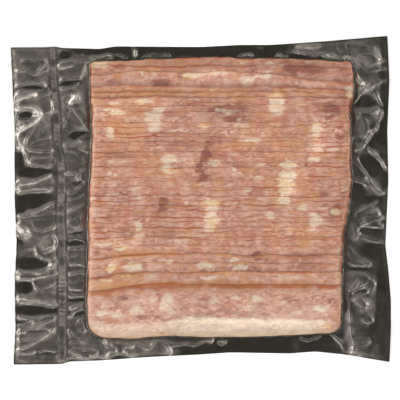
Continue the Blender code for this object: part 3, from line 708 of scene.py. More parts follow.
crest = np.zeros_like(GX)
sharp = np.zeros_like(GX)
for height, width, points in FOLDS:
    pts = curve_points(points)
    if abs(float(pts[:, 0].mean())) < 118 and abs(float(pts[:, 1].mean())) > 134:
        height, width = 1.6 * height, 1.3 * width
    pts[:, 0] += 0.4 * noise(pts[:, 0] / 6.0, pts[:, 1] / 6.0, 71)
    pts[:, 1] += 0.4 * noise(pts[:, 0] / 6.0, pts[:, 1] / 6.0, 73)
    along = np.linspace(0, 1, len(pts))
    fade = np.minimum(1.0, np.minimum(along, 1 - along) * 6.0 + 0.3)
    uneven = 1.0 + 0.35 * noise(along * len(pts) * 0.06, height * 7.0 + width, 79)
    stamp(crest, pts, 1.05 * height * fade * uneven, 0.6, lambda q: np.clip(1.25 - q, 0, 1))
    fade = np.minimum(1.0, np.minimum(along, 1 - along) * 5.0)
    calm = 1.0 - 0.62 * smooth(130.0, 150.0, pts[:, 0])
    stamp(sharp, pts, 0.36 * calm * width * min(height, 1.5) ** 0.5 * fade * uneven, 2.6 * width, lambda q: np.exp(-((q * 2.6) ** 2)))

# finer net of creases between the main folds, with flat facets in its meshes
warp_x = GX + 4.0 * noise(GX / 16.0, GY / 16.0, 81)
warp_y = GY + 3.0 * noise(GX / 14.0, GY / 14.0, 83)
n1, n2, tag = cells(warp_x / 12.0, warp_y / 7.0, 91)
net = np.clip(1.0 - (n2 - n1) * 12.0, 0, 1) * np.clip(0.55 + 0.7 * noise(GX / 9.0, GY / 9.0, 93), 0, 1)
m1, m2, tag2 = cells(warp_x / 5.5 + 30, warp_y / 3.8, 95)
net2 = np.clip(1.0 - (m2 - m1) * 7.0, 0, 1) * np.clip(0.35 + 0.8 * noise(GX / 13.0, GY / 11.0, 97), 0, 1)
small = (0.7 * net + 0.25 * net2) * loose * (1.0 - 0.45 * smooth(130.0, 150.0, GX))
skirt = smooth(0.5, 1.5, AWAY) * smooth(8.0, 4.0, AWAY) * np.clip(0.35 + noise(GX / 15.0, GY / 15.0, 109), 0, 1) * (MEAT <= 0)
small = np.maximum(small, 0.35 * skirt * net2 + 0.25 * skirt * net)

FILM_GAP = 0.35
wide = np.pad(MEAT, 1, mode="edge")
wide = np.max([wide[1 + j : wide.shape[0] - 1 + j, 1 + i : wide.shape[1] - 1 + i] for j in (-1, 0, 1) for i in (-1, 0, 1)], 0)
soft_meat = np.where(MEAT > 0, np.maximum(blur(np.where(wide > 0, wide, 0), 3), MEAT), 0)
base = LIE + FILM_GAP
under = np.maximum(np.where(MEAT > 0, soft_meat + 0.2, 0), base)
under = np.maximum(under, (base + np.maximum(crest, small)) * (crest + small > 0.02))
tilted = np.zeros_like(GX)
for cx, cy, rx, ry, up_x, up_y in TILTED:
    spread = window(GX, GY, [(cx, cy, rx, ry)], 0.35)
    tilted = np.maximum(tilted, spread * (up_x * (GX - cx) + up_y * (GY - cy) + abs(up_x) * rx + abs(up_y) * ry))
under = np.maximum(under, base + 0.8 * tilted * (loose > 0.3))
pull = np.where(MEAT > 0, 0.10, 2.0) * (1 - loose) ** 2 + 0.022 * loose
pull = np.where((AWAY > 0) & (AWAY < 3.5), 16.0, pull) * CELL**2
FILM = drape(under, pull, 320)
FILM = np.where(MEAT > 0, np.maximum(blur(FILM, 3), MEAT), FILM)
FILM = FILM + sharp * (MEAT <= 0) + 0.10 * (net * 1.0 + 0.6 * net2) * loose * (1.0 - 0.5 * smooth(130.0, 150.0, GX))

# the weld's edge line and its ladder of small ribs
FILM = FILM + np.exp(-(((GX - WX) / 0.6) ** 2)) * 0.3 + np.exp(-(((GX - WL) / 0.7) ** 2)) * 0.1
band = smooth(-0.2, 1.2, GX - WL) * smooth(0.2, -1.2, GX - WX)
rung_at = GY / 5.2 + 0.8 * noise(GY / 16.0, GX / 40.0, 101) + 0.35 * noise(GX / 5.0, GY / 5.0, 103)
rungs = (0.5 + 0.5 * np.cos(2 * math.pi * rung_at)) ** 1.5
rungs = rungs * np.clip(0.35 + 0.9 * noise(GX / 12.0, GY / 6.0, 105) + 0.5 * smooth(-60, -75, GY) * smooth(-125, -112, GY), 0, 1)
FILM = FILM + 0.3 * band * rungs + 0.08 * band * fractal(GX / 2.6, GY / 2.2, 106, 2)
FILM = FILM + 0.055 * (1.0 + noise(GX / 20.0, GY / 12.0, 111)) * fractal(GX / 4.5, GY / 2.6, 107, 3) * (MEAT > 0)
FILM = FILM + 0.035 * loose * fractal(GX / 4.0, GY / 3.0, 108, 3)
FILM = np.maximum(FILM, np.where(MEAT > 0, MEAT + 0.22, base))

# how hazy the film looks with wrinkles too small to model, and the black film under it
HAZE = np.zeros_like(GX)
for strength, half, points in SHEEN:
    pts = curve_points(points, 1.0)
    pts[:, 0] += 1.0 * noise(pts[:, 0] / 5.0, pts[:, 1] / 5.0, 121)
    pts[:, 1] += 0.8 * noise(pts[:, 0] / 5.0, pts[:, 1] / 5.0, 123)
    uneven = 1.0 + 0.25 * noise(pts[:, 0] / 6.0, pts[:, 1] / 6.0, 125)
    stamp(HAZE, pts, strength * uneven, 1.45 * half, lambda q: smooth(1.0, 0.1, q))
HAZE = HAZE * (1.0 + 0.35 * noise(warp_x / 7.0, warp_y / 3.5, 127) + 0.2 * noise(GX / 3.0, GY / 2.4, 129))
rough = 0.57 + 0.22 * noise(GX / 18.0, GY / 14.0, 113) + 0.2 * noise(warp_x / 8.0, warp_y / 4.5, 115) - 0.23 * smooth(100.0, 160.0, GX)
HAZE = np.maximum(HAZE * (1.1 - 0.42 * smooth(130.0, 160.0, GX)), loose * np.clip(rough, 0.0, 1.0) * (1.0 - 0.75 * flat))
HAZE = HAZE * smooth(-0.3, 1.0, AWAY) * (MEAT <= 0)
crest_glow = blur(sharp, 2)
HAZE = HAZE + 0.22 * (1.0 - 0.45 * smooth(130.0, 150.0, GX)) * np.clip(crest_glow / 0.3, 0, 1) * (MEAT <= 0)
cell_dark = smooth(0.35, 0.75, 1.0 - rungs) * smooth(0.15, 0.8, 0.5 + 0.8 * noise(GY / 9.0, 0.5, 131)) * np.exp(-(((GX - 0.5 * (WL + WX)) / 3.0) ** 2))
band_haze = 0.99 + 0.26 * rungs - 0.6 * cell_dark + 0.2 * noise(GX / 2.2, GY / 2.2, 133)
HAZE = np.maximum(HAZE * (1 - band), band_haze * band)
HAZE = np.maximum(HAZE, 0.75 * np.exp(-(((GX - WX) / 0.8) ** 2)) * (0.8 + 0.4 * noise(GY / 9.0, 0.5, 135)))
HAZE = np.clip(blur(HAZE, 1), 0, 1.3)
glint = window(GX, GY, GLINTS, 0.5) * smooth(0.0, 0.6, fractal((GX + 3.0 * noise(GX / 9.0, GY / 9.0, 143)) / 5.0, GY / 2.2, 141, 3))
FILM = FILM + 0.12 * glint * (MEAT > 0)
BACK = LIE + 0.45 * blur(np.where(MEAT > 0, 0, np.maximum(FILM - base - 0.2, 0)), 8) * np.maximum(loose, 0.0)

# ------------------------------------------------------------------ meshes


def grid_faces(rows, columns, wrap=False, flip=False):
    """Quads of a grid of points stored row by row. With wrap, its last row joins its first."""
    j = np.arange(rows if wrap else rows - 1)[:, None]
    i = np.arange(columns - 1)[None, :]
    a = (j * columns + i).ravel()
    b = (j * columns + i + 1).ravel()
    c = (((j + 1) % rows) * columns + i + 1).ravel()
    d = (((j + 1) % rows) * columns + i).ravel()
    quads = np.stack([a, b, c, d], 1)
    return quads[:, ::-1] if flip else quads


def make_piece(name, points, faces, material, fields=None):
    """A mesh object from points in mm and lists of faces, with smooth shading and named fields."""
    mesh = bpy.data.meshes.new(name)
    sizes = np.array([len(f) for f in faces], np.int32)
    corners = np.concatenate([np.asarray(f, np.int32) for f in faces]) if sizes.max() != sizes.min() else np.asarray(faces, np.int32).ravel()
    mesh.vertices.add(len(points))
    mesh.vertices.foreach_set("co", (np.asarray(points, np.float32) * MM).ravel())
    mesh.loops.add(len(corners))
    mesh.loops.foreach_set("vertex_index", corners)
    mesh.polygons.add(len(sizes))
    mesh.polygons.foreach_set("loop_start", np.concatenate([[0], np.cumsum(sizes)[:-1]]).astype(np.int32))
    mesh.update(calc_edges=True)
    mesh.validate()
    mesh.shade_smooth()
    for key, values in (fields or {}).items():
        values = np.asarray(values, np.float32)
        kind = "FLOAT_VECTOR" if values.ndim == 2 else "FLOAT"
        attribute = mesh.attributes.new(key, kind, "POINT")
        attribute.data.foreach_set("vector" if values.ndim == 2 else "value", values.ravel())
    mesh.materials.append(material)
    obj = bpy.data.objects.new(name, mesh)
    bpy.context.scene.collection.objects.link(obj)
    return obj


# ------------------------------------------------------------------ meat: fat, lean and smoke

# Patches on the overlapping slices: strength, x, y, half width, half height
FAT = [
    (1.5, 148, 107.5, 4.0, 6.5),     (0.9, -101, 135, 9, 4), (0.9, -9, 124.5, 13, 3.2), (0.25, -60, 122, 20, 3), (0.8, 15, 127, 20, 2.2),
    (0.9, 47, 120, 8, 4), (0.8, 62, 123, 14, 1.8), (0.6, 40, 137, 4, 2), (0.8, 66, 136, 4.5, 2.5), (0.7, 66, 128, 4.5, 1.8),
    (1.1, -57, 98, 9, 2.4), (0.7, -88, 96, 8, 2), (0.8, -92, 90, 10, 1.2), (1.2, -46, 81, 9, 9), (0.9, -42, 91, 8, 3), (0.8, -46, 70, 7, 4), (1.0, -84, 87, 9, 2), (0.9, -89, 67, 5, 8), (0.6, 9, 109, 4, 2.5),
    (1.1, 74, 96, 9, 13), (0.6, 100, 96, 10, 2), (0.9, 115, 70, 5, 11), (0.6, 108, 56, 6, 3),
    (0.9, 115, 52, 7, 4), (0.8, 131, 50, 6, 2.5), (0.9, 114, 41, 7, 3), (1.1, -31, 41, 8.0, 5), (1.0, -33, 32, 7.5, 3), (0.9, -33, 27, 6, 2), (0.6, 14, 37, 8, 4),
    (0.7, -88, 26, 4, 3), (1.3, 10, -2, 7.5, 3), (1.3, 11, -9, 8.5, 3), (1.4, 11, -18, 8.5, 6), (1.3, 9, -28, 6, 4), (0.9, -61, -25, 5, 6),
    (0.8, -62, -36, 5, 3), (0.6, -104, -13, 6, 9), (0.7, 60, 35, 6, 3), (0.7, 57, 22, 7, 3.5), (1.2, 88, 35, 9, 4),
    (1.4, 85, 23, 10, 5.5), (1.4, 84, 15, 9, 2.5), (1.4, 84, 9, 8.5, 4), (1.2, 83, 0, 7.5, 4.5), (0.9, 69, -15, 6, 5), (0.8, 102, -7, 7, 4),
    (1.3, 114, -20, 6.5, 8), (0.8, 135, -12, 6, 4), (0.6, -20, 69, 14, 1.6), (0.6, 5, 73, 10, 2), (0.6, 52, 60, 10, 4), (0.6, 26, 88, 16, 3),
    (0.9, -97, -43, 10, 3.5), (0.9, -80, -47, 9, 3.0), (1.3, -67, -66, 10, 5.5), (1.2, -89, -68, 6, 4.5), (0.5, -40, -60, 5, 3), (0.9, -31, -61, 4.5, 2.8),
    (0.9, 4, -64, 9, 4.5), (0.9, 31, -59, 5, 2.6), (1.2, 40, -66.5, 7.5, 3), (0.8, -94, -80, 7, 1.8),
    (0.8, 8, -77, 8, 2.4), (0.5, 90, -77, 25, 1.6), (0.6, -66, 10, 6, 3), (0.6, 45, 10, 7, 3), (0.5, -20, -40, 14, 2),
]
DARK = [
    (0.9, 25, 90, 24, 6), (0.8, 36, 80, 16, 5), (0.5, -74, -33, 10, 7), (0.5, -33, -33, 10, 7), (0.7, 40, -68, 50, 3), (0.7, -10, 96, 20, 4), (0.7, 100, -56, 26, 5), (0.8, 134, -10, 8, 8),
    (1.4, -41, 117, 11, 4.2), (0.8, -18, 124, 8, 4), (0.6, -88, 118, 12, 4), (0.9, -12, 122.5, 3, 2.4), (0.8, 92, 133, 4.5, 2), (0.6, 75, 131, 5, 2), (0.8, 98, 133, 22, 5), (0.9, 118, 131, 6, 2), (0.8, 84, 137, 10, 3), (0.7, -84, 133, 6, 3),
    (1.5, 4, 44, 4.5, 11), (1.5, 2, 28, 4.5, 12), (1.2, 8, 57, 5, 3), (1.1, 0, 18, 4, 5), (1.2, -38, -3, 5, 7), (1.1, 56, -55, 7, 6), (0.9, -40, -10, 4, 5), (0.8, 38, 94, 6, 5), (1.0, 127, 84, 7, 4), (0.9, 127, 96, 6, 1.5), (1.2, 138, 72, 5, 2.6), (0.9, 106, 36, 2, 2.4),
    (1.0, 129, 90, 9, 10), (0.9, 100, 130, 30, 6), (1.0, 137, 63, 6, 3), (0.9, 107, 56, 5, 2.5), (0.8, -76, 7, 5, 3), (0.7, -95, 7, 4, 2), (0.7, -35, -2, 5, 2), (0.7, -36, -9, 4, 2.5), (0.7, 119, 6, 11, 4), (0.6, 128, -20, 8, 2.5), (0.6, 41, 33, 11, 7), (0.5, 60, 50, 14, 7),
    (1.3, 57, -59, 4, 2.2), (0.5, 100, -65, 24, 5), (0.8, -93, -48, 6, 2.5), (0.5, -30, 88, 16, 6), (0.5, -20, 55, 18, 7), (0.5, -85, 45, 14, 5),
    (0.9, -83, 75, 2.5, 1.5), (0.9, -82, 69, 2.5, 1.5), (1.1, -45, 65.5, 3, 2), (0.5, 75, -10, 10, 4), (0.5, 20, 60, 20, 6), (0.6, -100, -28, 6, 3),
    (0.7, -101, -78, 5, 4), (0.6, -105, -52, 5, 3),
]
TAN = [
    (1.0, -83, 123.5, 5, 5), (0.9, -50, 130, 12, 2.5), (1.0, -62, 106.5, 50, 4.0), (0.9, 79, 108, 8, 4), (0.8, 10, 106, 30, 3), (0.7, 120, 106, 20, 2.5),
    (0.4, -66, 87, 20, 6), (0.5, -97, 94, 9, 5), (0.45, -104, 50, 5, 48), (0.9, 73, 106, 9, 4), (0.7, -70, 70, 20, 9), (0.6, -20, 133, 40, 3),
    (0.8, 85, 16, 11, 2), (0.6, 50, -4, 45, 2), (0.6, 52, -7, 5, 11), (0.7, -62, -55, 34, 3), (0.7, -88, -54, 18, 3.5), (0.6, 80, -58, 40, 2),
    (0.5, -40, -30, 40, 5), (0.6, 20, 10, 14, 5), (0.6, 90, 56, 25, 3), (0.7, -28, 31, 5, 3), (0.8, 141, 84, 5, 8), (0.5, -60, -12, 40, 3),
    (0.9, -75, -75, 20, 3.5), (1.0, -82, -84, 30, 5.5), (1.0, -68, -72.5, 24, 3), (1.0, 20, -84, 62, 4), (0.9, 10, -72, 40, 3), (0.9, -50, -52, 40, 3), (0.9, 20, -88, 55, 4.0), (0.6, 90, -86, 30, 3), (0.7, 143, -20, 4, 22), (0.3, -110, 0, 3, 60),
]
# Pale patches of the lean, some of them on the far slices a painted sheen: strength, x, y, half width, half height
PALE_AND_PAINTED_SHEEN = [
    (0.9, -60, 120, 52, 4), (0.8, 10, 127, 30, 3.5), (0.7, -100, 117, 12, 5), (0.7, 47, 119, 16, 4), (0.5, 95, 112, 20, 3), (0.6, -50, 99, 40, 3),
    (0.6, -95, -48, 20, 4), (0.6, 0, -66, 80, 4), (0.5, -60, -67, 40, 4), (0.4, 100, 30, 20, 8), (0.4, 30, 88, 20, 5), (0.5, -87, 24, 6, 4),
]
SMOKY = [
    (0.9, 20, 141, 150, 2.5),
    (1.2, 146, 116, 6, 2),     (1, -75, -53, 42, 7), (1, -85, -75, 28, 5), (1, 20, -86, 170, 9), (0.8, 50, 14, 48, 3), (0.9, 50, -4, 48, 3), (0.8, 50, -13, 52, 3), (0.75, -60, 106, 60, 7),
    (0.6, 80, 107, 20, 6), (0.9, -60, 70, 30, 14), (0.6, 125, 20, 20, 60), (0.7, -102, 20, 12, 90), (0.8, 80, -57, 40, 5), (0.6, 60, -71, 60, 4), (0.8, -40, 133, 60, 4),
    (0.7, 110, 108, 30, 4), (0.5, -20, -20, 40, 20),
]
# Patches on the top slice
# Places lighter (above 0) or darker (below 0) than the rest. Some are the meat's own tone. Others are painted shade
# and painted highlight, such as the painted shade along the block's right side: strength, x, y, half width, half
# height
PAINTED_LIGHT_AND_TONE = [
    (-0.9, 20, 137, 140, 8), (-0.6, 110, 130, 42, 12), (-0.9, 147, 40, 5, 75), (-0.8, 141, -60, 4, 60), (-0.5, 20, 146, 150, 4), (-0.7, 142, 105, 10, 40), (-0.1, 100, 104, 60, 5), (-0.15, -20, 108, 120, 6.5), (0.8, 14, 125, 34, 4), (-0.6, -42, 118, 16, 5), (-0.5, -88, 118, 10, 4), (-0.4, 110, 134, 40, 5), (-0.3, 128, 100, 16, 6),
    (0.1, -70, 120, 40, 6), (-0.4, -104, 118, 8, 20), (0.6, -60, 98, 40, 4), (0.6, 118, 60, 9, 22), (0.6, 92, 20, 14, 22), (0.4, 60, 52, 30, 12),
    (-0.5, 5, 40, 12, 26), (-0.6, -38, -5, 10, 14), (-0.5, 130, 0, 16, 30), (-0.5, 56, -56, 14, 7), (-0.4, 100, -66, 30, 6), (0.4, -80, -40, 30, 7),
    (0.1, -60, -66, 30, 5), (-0.4, -80, 0, 26, 14), (0.4, 10, -14, 14, 18), (-0.5, 143, -40, 8, 60), (-0.4, -85, 40, 22, 18),
    (-0.5, -30, 60, 30, 8), (0.4, -75, 75, 26, 18), (0.4, 75, 98, 14, 12), (-0.7, 25, 88, 30, 15), (-0.6, -74, -33, 11, 8), (-0.6, -33, -30, 12, 10), (0.6, -87, -66, 14, 6), (-0.5, 40, -67, 80, 4), (0.5, 118, 52, 12, 14), (0.5, -84, 86, 16, 12), (-0.6, 128, 88, 12, 10), (-0.4, -20, -78, 100, 5),
]
# Lighter and darker places on the top slice, with a painted shadow line along its lower edge and a painted highlight
# along the top of its fat band: strength, x, y, half width, half height
FRONT_PAINTED_LIGHT_AND_TONE = [(-0.35, 15, -105, 150, 18), (-1.2, 15, -139, 140, 3.0), (-0.6, 138, -128, 8, 10), (-0.5, -111, -128, 6, 12), (1.0, 40, -121, 80, 2.8), (-0.5, 30, -130, 110, 4.5), (0.3, 118, -108, 16, 8), (-0.7, 15, -88, 140, 3.5), (-0.6, -82, -98, 16, 4), (0.4, -40, -103, 30, 8), (0.3, 60, -100, 40, 6), (-0.3, 110, -100, 30, 8), (-0.4, 137, -108, 5, 20), (-0.4, 0, -115, 60, 3)]
FRONT_FAT = [
    (0.9, -96, -106, 6, 3.5), (1.0, -98, -112, 7, 5), (0.9, -84, -114, 12, 4), (1.2, -64, -109, 7, 5), (1.1, -33, -97, 8, 4.5), (1.0, -38, -106, 5, 5), (0.9, -30, -110, 5, 4),
    (0.7, -48, -99, 6, 3), (0.6, -12, -110, 10, 4), (0.9, 36, -97, 8, 2.6), (1.3, 55, -97, 7, 4), (0.6, 48, -108, 13, 5), (0.9, 118, -108, 10, 6), (0.7, 98, -112, 10, 2.5),
    (0.6, 80, -102, 9, 3), (0.8, 14, -100, 10, 3), (0.7, -68, -96, 6, 2.5), (0.8, -100, -96.5, 7, 2), (0.6, 82, -91.5, 8, 1.2), (0.6, 115, -92.5, 10, 1.2),
]
FRONT_DARK = [
    (1.4, -78, -97, 7, 2.4), (0.7, -86, -107, 8, 2), (0.8, -52, -116.5, 17, 3), (0.7, -34, -119, 9, 2.5), (0.5, 25, -111, 14, 4), (0.6, 90, -99, 16, 3.5), (0.4, 5, -112, 20, 3),
    (0.6, 60, -104, 8, 2.5), (0.5, 0, -99, 14, 3), (0.5, 130, -100, 6, 6), (0.4, -5, -105, 26, 3),
]
FRONT_TAN = [(1.0, -94, -93, 13, 5), (0.6, 5, -91.5, 42, 3), (0.35, -108, -105, 6, 16), (0.9, -60, -92, 14, 2.5), (0.9, -10, -88.5, 30, 3.5), (0.8, 60, -88, 50, 3), (0.8, -98, -90, 14, 3), (0.7, -50, -117, 16, 3), (1.0, 129, -125, 5, 3), (0.6, 138, -105, 4, 15)]
FRONT_PALE = [(0.8, -60, -105, 40, 9), (0.7, -35, -104, 15, 9), (0.6, 50, -103, 50, 9), (0.7, 110, -107, 20, 8), (0.6, -90, -113, 16, 6)]


def patch_field(x, y, patches, seed, soft=1.0):
    """The patches at the points, from 0 to about 1, each with an uneven, soft outline."""
    total = np.zeros_like(x)
    wx = x + 2.6 * noise(x / 9.0, y / 6.0, seed) + 1.3 * noise(x / 3.4, y / 2.6, seed + 1)
    wy = y + 1.5 * noise(x / 8.0, y / 6.0, seed + 2) + 0.8 * noise(x / 3.4, y / 2.4, seed + 3)
    for strength, cx, cy, rx, ry in patches:
        q = np.sqrt(((wx - cx) / rx) ** 2 + ((wy - cy) / ry) ** 2)
        total = np.maximum(total, 1.1 * strength * smooth(1.0 + 0.32 * soft, 1.0 - 0.55 * soft, q))
    return total


def slab_fields(k, x, y, d):
    """Fat, dark lean, smoke, tan, pale with painted sheen, and lightness with painted light and shade, from 0 to 1, at
    points of slice k.
    """
    jitter = rng_jitter[k]
    run = EDGE_RUN[k]
    mottle = 0.6 * noise(x / 9.0 + jitter, d / 6.5 + k * 3.1, 221) + 0.4 * noise(x / 4.0, d / 3.2 + k * 2.3, 223)
    if k == FRONT:
        fat = 0.9 * patch_field(x, y, FRONT_FAT, 211, 1.45) * (0.8 + 0.5 * mottle)
        dark = 1.15 * patch_field(x, y, FRONT_DARK, 231, 1.1)
        tan = patch_field(x, y, FRONT_TAN, 241, 1.2)
        pale_and_painted_sheen = patch_field(x, y, FRONT_PALE, 251, 1.3) * (0.65 + 0.6 * mottle)
        top = spline([(-113, -118), (-95, -121), (-70, -122), (-40, -122), (-25, -118.5), (-10, -116.5), (35, -117.5), (100, -119), (130, -121), (142, -121)], x)
        inside = top - y + 2.0 * noise(x / 16.0, y / 9.0, 217) + 0.8 * noise(x / 5.0, y / 3.0, 218)
        band = smooth(-3.0, 2.4, inside) * (0.5 + 0.28 * smooth(-45.0, -15.0, x)) * (1.0 - 0.35 * smooth(100.0, 134.0, x))
        band = band + 0.4 * smooth(3.4, 0.6, np.abs(inside - 2.6)) * smooth(-30.0, -5.0, x) * smooth(132.0, 105.0, x)
        fat = np.maximum(fat, band)
        dark = dark * (1 - smooth(-1.5, 1.6, inside))
        tan = tan * (1 - 0.8 * band)
        pale_and_painted_sheen = np.maximum(pale_and_painted_sheen, 0.75 * smooth(-1.5, 2.5, inside) * smooth(-20.0, -60.0, x))
        cloud = 0.6 * noise(x / 22.0, y / 12.0, 255) + 0.5 * noise(x / 9.0, y / 6.0, 257)
        tan = np.maximum(tan, patch_field(x, y, [(1.3, 128, -125, 7, 4.5), (1.0, 135, -118, 5, 8)], 243, 1.3))
        tan = np.maximum(tan, 0.22 * smooth(3.0, 9.0, inside))
        tan = 0.7 * tan
        pale_and_painted_sheen = np.maximum(pale_and_painted_sheen, 0.3 + 0.5 * mottle)
        fat = np.maximum(fat, 0.12 + 0.35 * mottle)
        pale_and_painted_sheen = np.maximum(pale_and_painted_sheen, 0.9 * smooth(-0.2, 0.8, cloud) * (1 - smooth(-1.5, 1.6, inside)))
    else:
        moved = x + jitter
        veil = 0.6 * noise(x / 26.0, y / 10.0, 631) + 0.5 * noise(x / 10.0 + jitter * 0.2, y / 4.5, 633) + 0.4 * noise(x / 5.0 + jitter, y / 2.4, 635)
        warm = 0.7 * noise(x / 30.0, y / 10.0, 641) + 0.5 * noise(x / 10.0 + jitter * 0.2, y / 4.0, 643) + 0.3 * noise(x / 4.0, y / 2.0, 645)
        red = 0.6 * noise(x / 22.0, y / 9.0, 651) + 0.6 * noise(x / 8.0 + jitter, y / 3.0, 653)
        streak = 0.6 * noise(x / 17.0 + jitter, k * 0.8, 225) + 0.5 * noise(x / 7.0, k * 1.4 + d / 7.0, 226)
        fat = 1.08 * patch_field(moved, y, FAT, 201 + k, 1.05) * (0.92 + 0.4 * mottle)
        fat = np.maximum(fat, 0.7 * smooth(0.15, 0.9, veil) + 0.25 * smooth(0.1, 0.8, streak))
        dark = patch_field(moved, y, DARK, 301 + k, 1.0)
        dark = np.maximum(dark, 0.75 * smooth(0.1, 0.9, red) + 0.2 * smooth(0.2, 0.8, -streak))
        tan = patch_field(moved, y, TAN, 401 + k, 1.3)
        tan = np.maximum(tan, 0.95 * smooth(0.0, 0.85, warm))
        pale_and_painted_sheen = patch_field(moved, y, PALE_AND_PAINTED_SHEEN, 501 + k, 1.2) * (0.7 + 0.6 * mottle)
        pale_and_painted_sheen = np.maximum(pale_and_painted_sheen, 0.8 * smooth(-0.1, 0.9, streak - 0.4 * warm))
    # lightness: random tone per slice and in patches, with painted shade and painted highlights added to it
    painted_light_and_tone = 0.55 * rng_tone[k] * noise(x / 60.0 + 3.7 * k, 0.5, 665) + 0.35 * noise(x / 12.0 + jitter, y / 7.0, 667)
    wx, wy = x + 5.0 * noise(x / 17.0, y / 13.0, 671), y + 3.0 * noise(x / 19.0, y / 12.0, 673)
    for amount, cx, cy, rx, ry in FRONT_PAINTED_LIGHT_AND_TONE if k == FRONT else PAINTED_LIGHT_AND_TONE:
        q = np.sqrt(((wx - cx) / rx) ** 2 + ((wy - cy) / ry) ** 2)
        painted_light_and_tone = painted_light_and_tone + amount * smooth(1.3, 0.4, q)
    last = np.minimum(x - side_left(k, y), side_right(k, y) - x)
    # painted shade darkening the slices' right ends; their left ends lighter and paler
    painted_light_and_tone = painted_light_and_tone + np.where(x > 0, -0.9 * smooth(4.0, 0.3, last), 0.45 * smooth(13.0, 1.0, last) * smooth(120.0, 95.0, y))
    pale_and_painted_sheen = np.maximum(pale_and_painted_sheen, 0.6 * (x < 0) * smooth(12.0, 2.0, last) * smooth(120.0, 95.0, y))
    # painted glints: lighter, pale flecks in the slices' colour, which also raise the fat field a little
    painted_glint = window(x, y, GLINTS, 0.5) * smooth(0.12, 0.6, fractal((x + 3.0 * noise(x / 9.0, y / 9.0, 143)) / 5.0, y / 2.0 + k, 145, 3))
    painted_light_and_tone = painted_light_and_tone + 0.9 * painted_glint
    pale_and_painted_sheen = np.maximum(pale_and_painted_sheen, 0.95 * painted_glint)
    fat = np.maximum(fat, 0.35 * painted_glint)
    if k != FRONT:
        # painted highlight: a lighter, pale streak along each slice's crest just below its edge
        line = np.exp(-(((d - 1.15 * run - 0.3) / 0.55) ** 2)) * np.clip(noise(x / 13.0, k * 3.7, 681) + 0.35 * noise(x / 4.0, k * 1.9, 683), 0, 1)
        painted_light_and_tone = painted_light_and_tone + 1.1 * line
        pale_and_painted_sheen = np.maximum(pale_and_painted_sheen, 0.8 * line)
    if k == 2:
        pale_and_painted_sheen = np.maximum(pale_and_painted_sheen, 0.7 * smooth(110.0, 40.0, x) * (0.65 + 0.8 * mottle)) * (1.0 - 0.7 * np.minimum(dark, 1.0))
    if k in (3, 4):
        tan = np.maximum(tan, 0.85 * np.clip(0.55 + 0.7 * mottle + 0.5 * noise(x / 24.0, k * 2.2, 685), 0, 1))
        fat, pale_and_painted_sheen = fat * 0.8, pale_and_painted_sheen * 0.7
        dark = np.maximum(dark, 0.6 * smooth(0.0, 0.7, noise(x / 19.0, d / 2.5 + k, 687)))
    if k < 8:
        dark = np.maximum(dark, 0.22 * (1.0 + mottle))
    if k in (0, 1):
        tan = np.maximum(tan, 0.75 * (0.6 + 0.8 * mottle) * smooth(70.0, 40.0, x))
    smoke = smooth(run * 1.15 + 0.35, run * 0.35, d + 0.35 * noise(x / 5.0, k * 2.0, 228))
    strength = 0.6 + 1.0 * noise(x / 26.0, k * 2.7, 227) + 0.45 * noise(x / 8.0, k * 1.1, 229)
    if k == FRONT or 1 <= k <= 5:
        strength = strength + 0.3
    if FRONT - 4 <= k < FRONT:
        strength = strength - 0.15
    zone = patch_field(x, y, SMOKY, 601, 1.3)
    smoke = smoke * np.clip(strength * (0.45 + 0.75 * zone), 0.05, 1.0)
    if k == FRONT:
        wide = smooth(6.5, 2.0, d + 1.4 * noise(x / 15.0, 0.5, 236)) * np.clip(0.62 + 0.6 * noise(x / 20.0, 1.5, 237), 0, 1)
        smoke = np.maximum(smoke, 0.75 * wide)
        smoke = np.maximum(smoke, 0.7 * patch_field(x, y, [(1.2, 104, -85, 13, 3.2), (1.1, -48, -87, 28, 3.0), (0.9, -96, -94, 9, 3.0)], 247, 1.2))
    if k == FRONT - 1:
        above = y - edge_line(FRONT, x) + 1.0 * noise(x / 15.0, 0.5, 238)
        smoke = np.maximum(smoke, 0.8 * smooth(4.2, 0.4, above) * np.clip(0.6 + 0.7 * noise(x / 20.0, 2.5, 239), 0, 1))
        tan = np.maximum(tan, 0.65 * smooth(5.0, 1.5, above))
    halo = smooth(run + (2.0 if k == FRONT else 3.2), run * 0.5, d) * (0.55 + 0.5 * noise(x / 12.0, k * 1.9, 230))
    tan = np.maximum(tan, halo * (0.75 if k < FRONT - 3 else 1.0))
    if k == FRONT:
        low = front_reach(x) - d + 0.9 * noise(x / 9.0, 0.5, 234)
        smoke = np.maximum(smoke, 0.4 * smooth(1.9, 0.5, low) * np.clip(0.6 + 0.8 * noise(x / 12.0, 0.5, 235), 0, 1))
        tan = np.maximum(tan, 0.5 * smooth(4.5, 1.0, low))
    ends = np.minimum(x - side_left(k, y), side_right(k, y) - x)
    side = (x > 0) * (2.0 + 3.0 * smooth(40.0, -10.0, y)) + (x <= 0) * 2.6
    stripe = 0.75 + 0.35 * noise(x / 0.9, y / 25.0, 661)
    rim = smooth(1.6, 0.3, ends + 0.5 * noise(y / 7.0, 0.5, 232))
    smoke = np.maximum(smoke * smooth(-0.5, 4.0, ends), 0.2 * rim * stripe)
    tan = np.maximum(tan, np.where(x > 0, 0.75, 0.4 + 0.5 * smooth(60.0, 110.0, y)) * np.exp(-np.maximum(ends, 0) / (1.3 * side)) * stripe)
    fat = fat * (0.7 + 0.3 * smooth(0.0, 1.6 * side, ends)) + 0.35 * (x < 0) * smooth(5.0, 1.0, ends) * smooth(-0.1, 0.5, noise(y / 11.0, 2.5, 233))
    return [np.clip(f, 0, 1) for f in (fat, dark, smoke, tan, pale_and_painted_sheen, 0.5 + 0.5 * painted_light_and_tone)]


rng_jitter = rng.uniform(-1.6, 1.6, COUNT)
rng_tone = rng.uniform(-1.0, 1.0, COUNT)


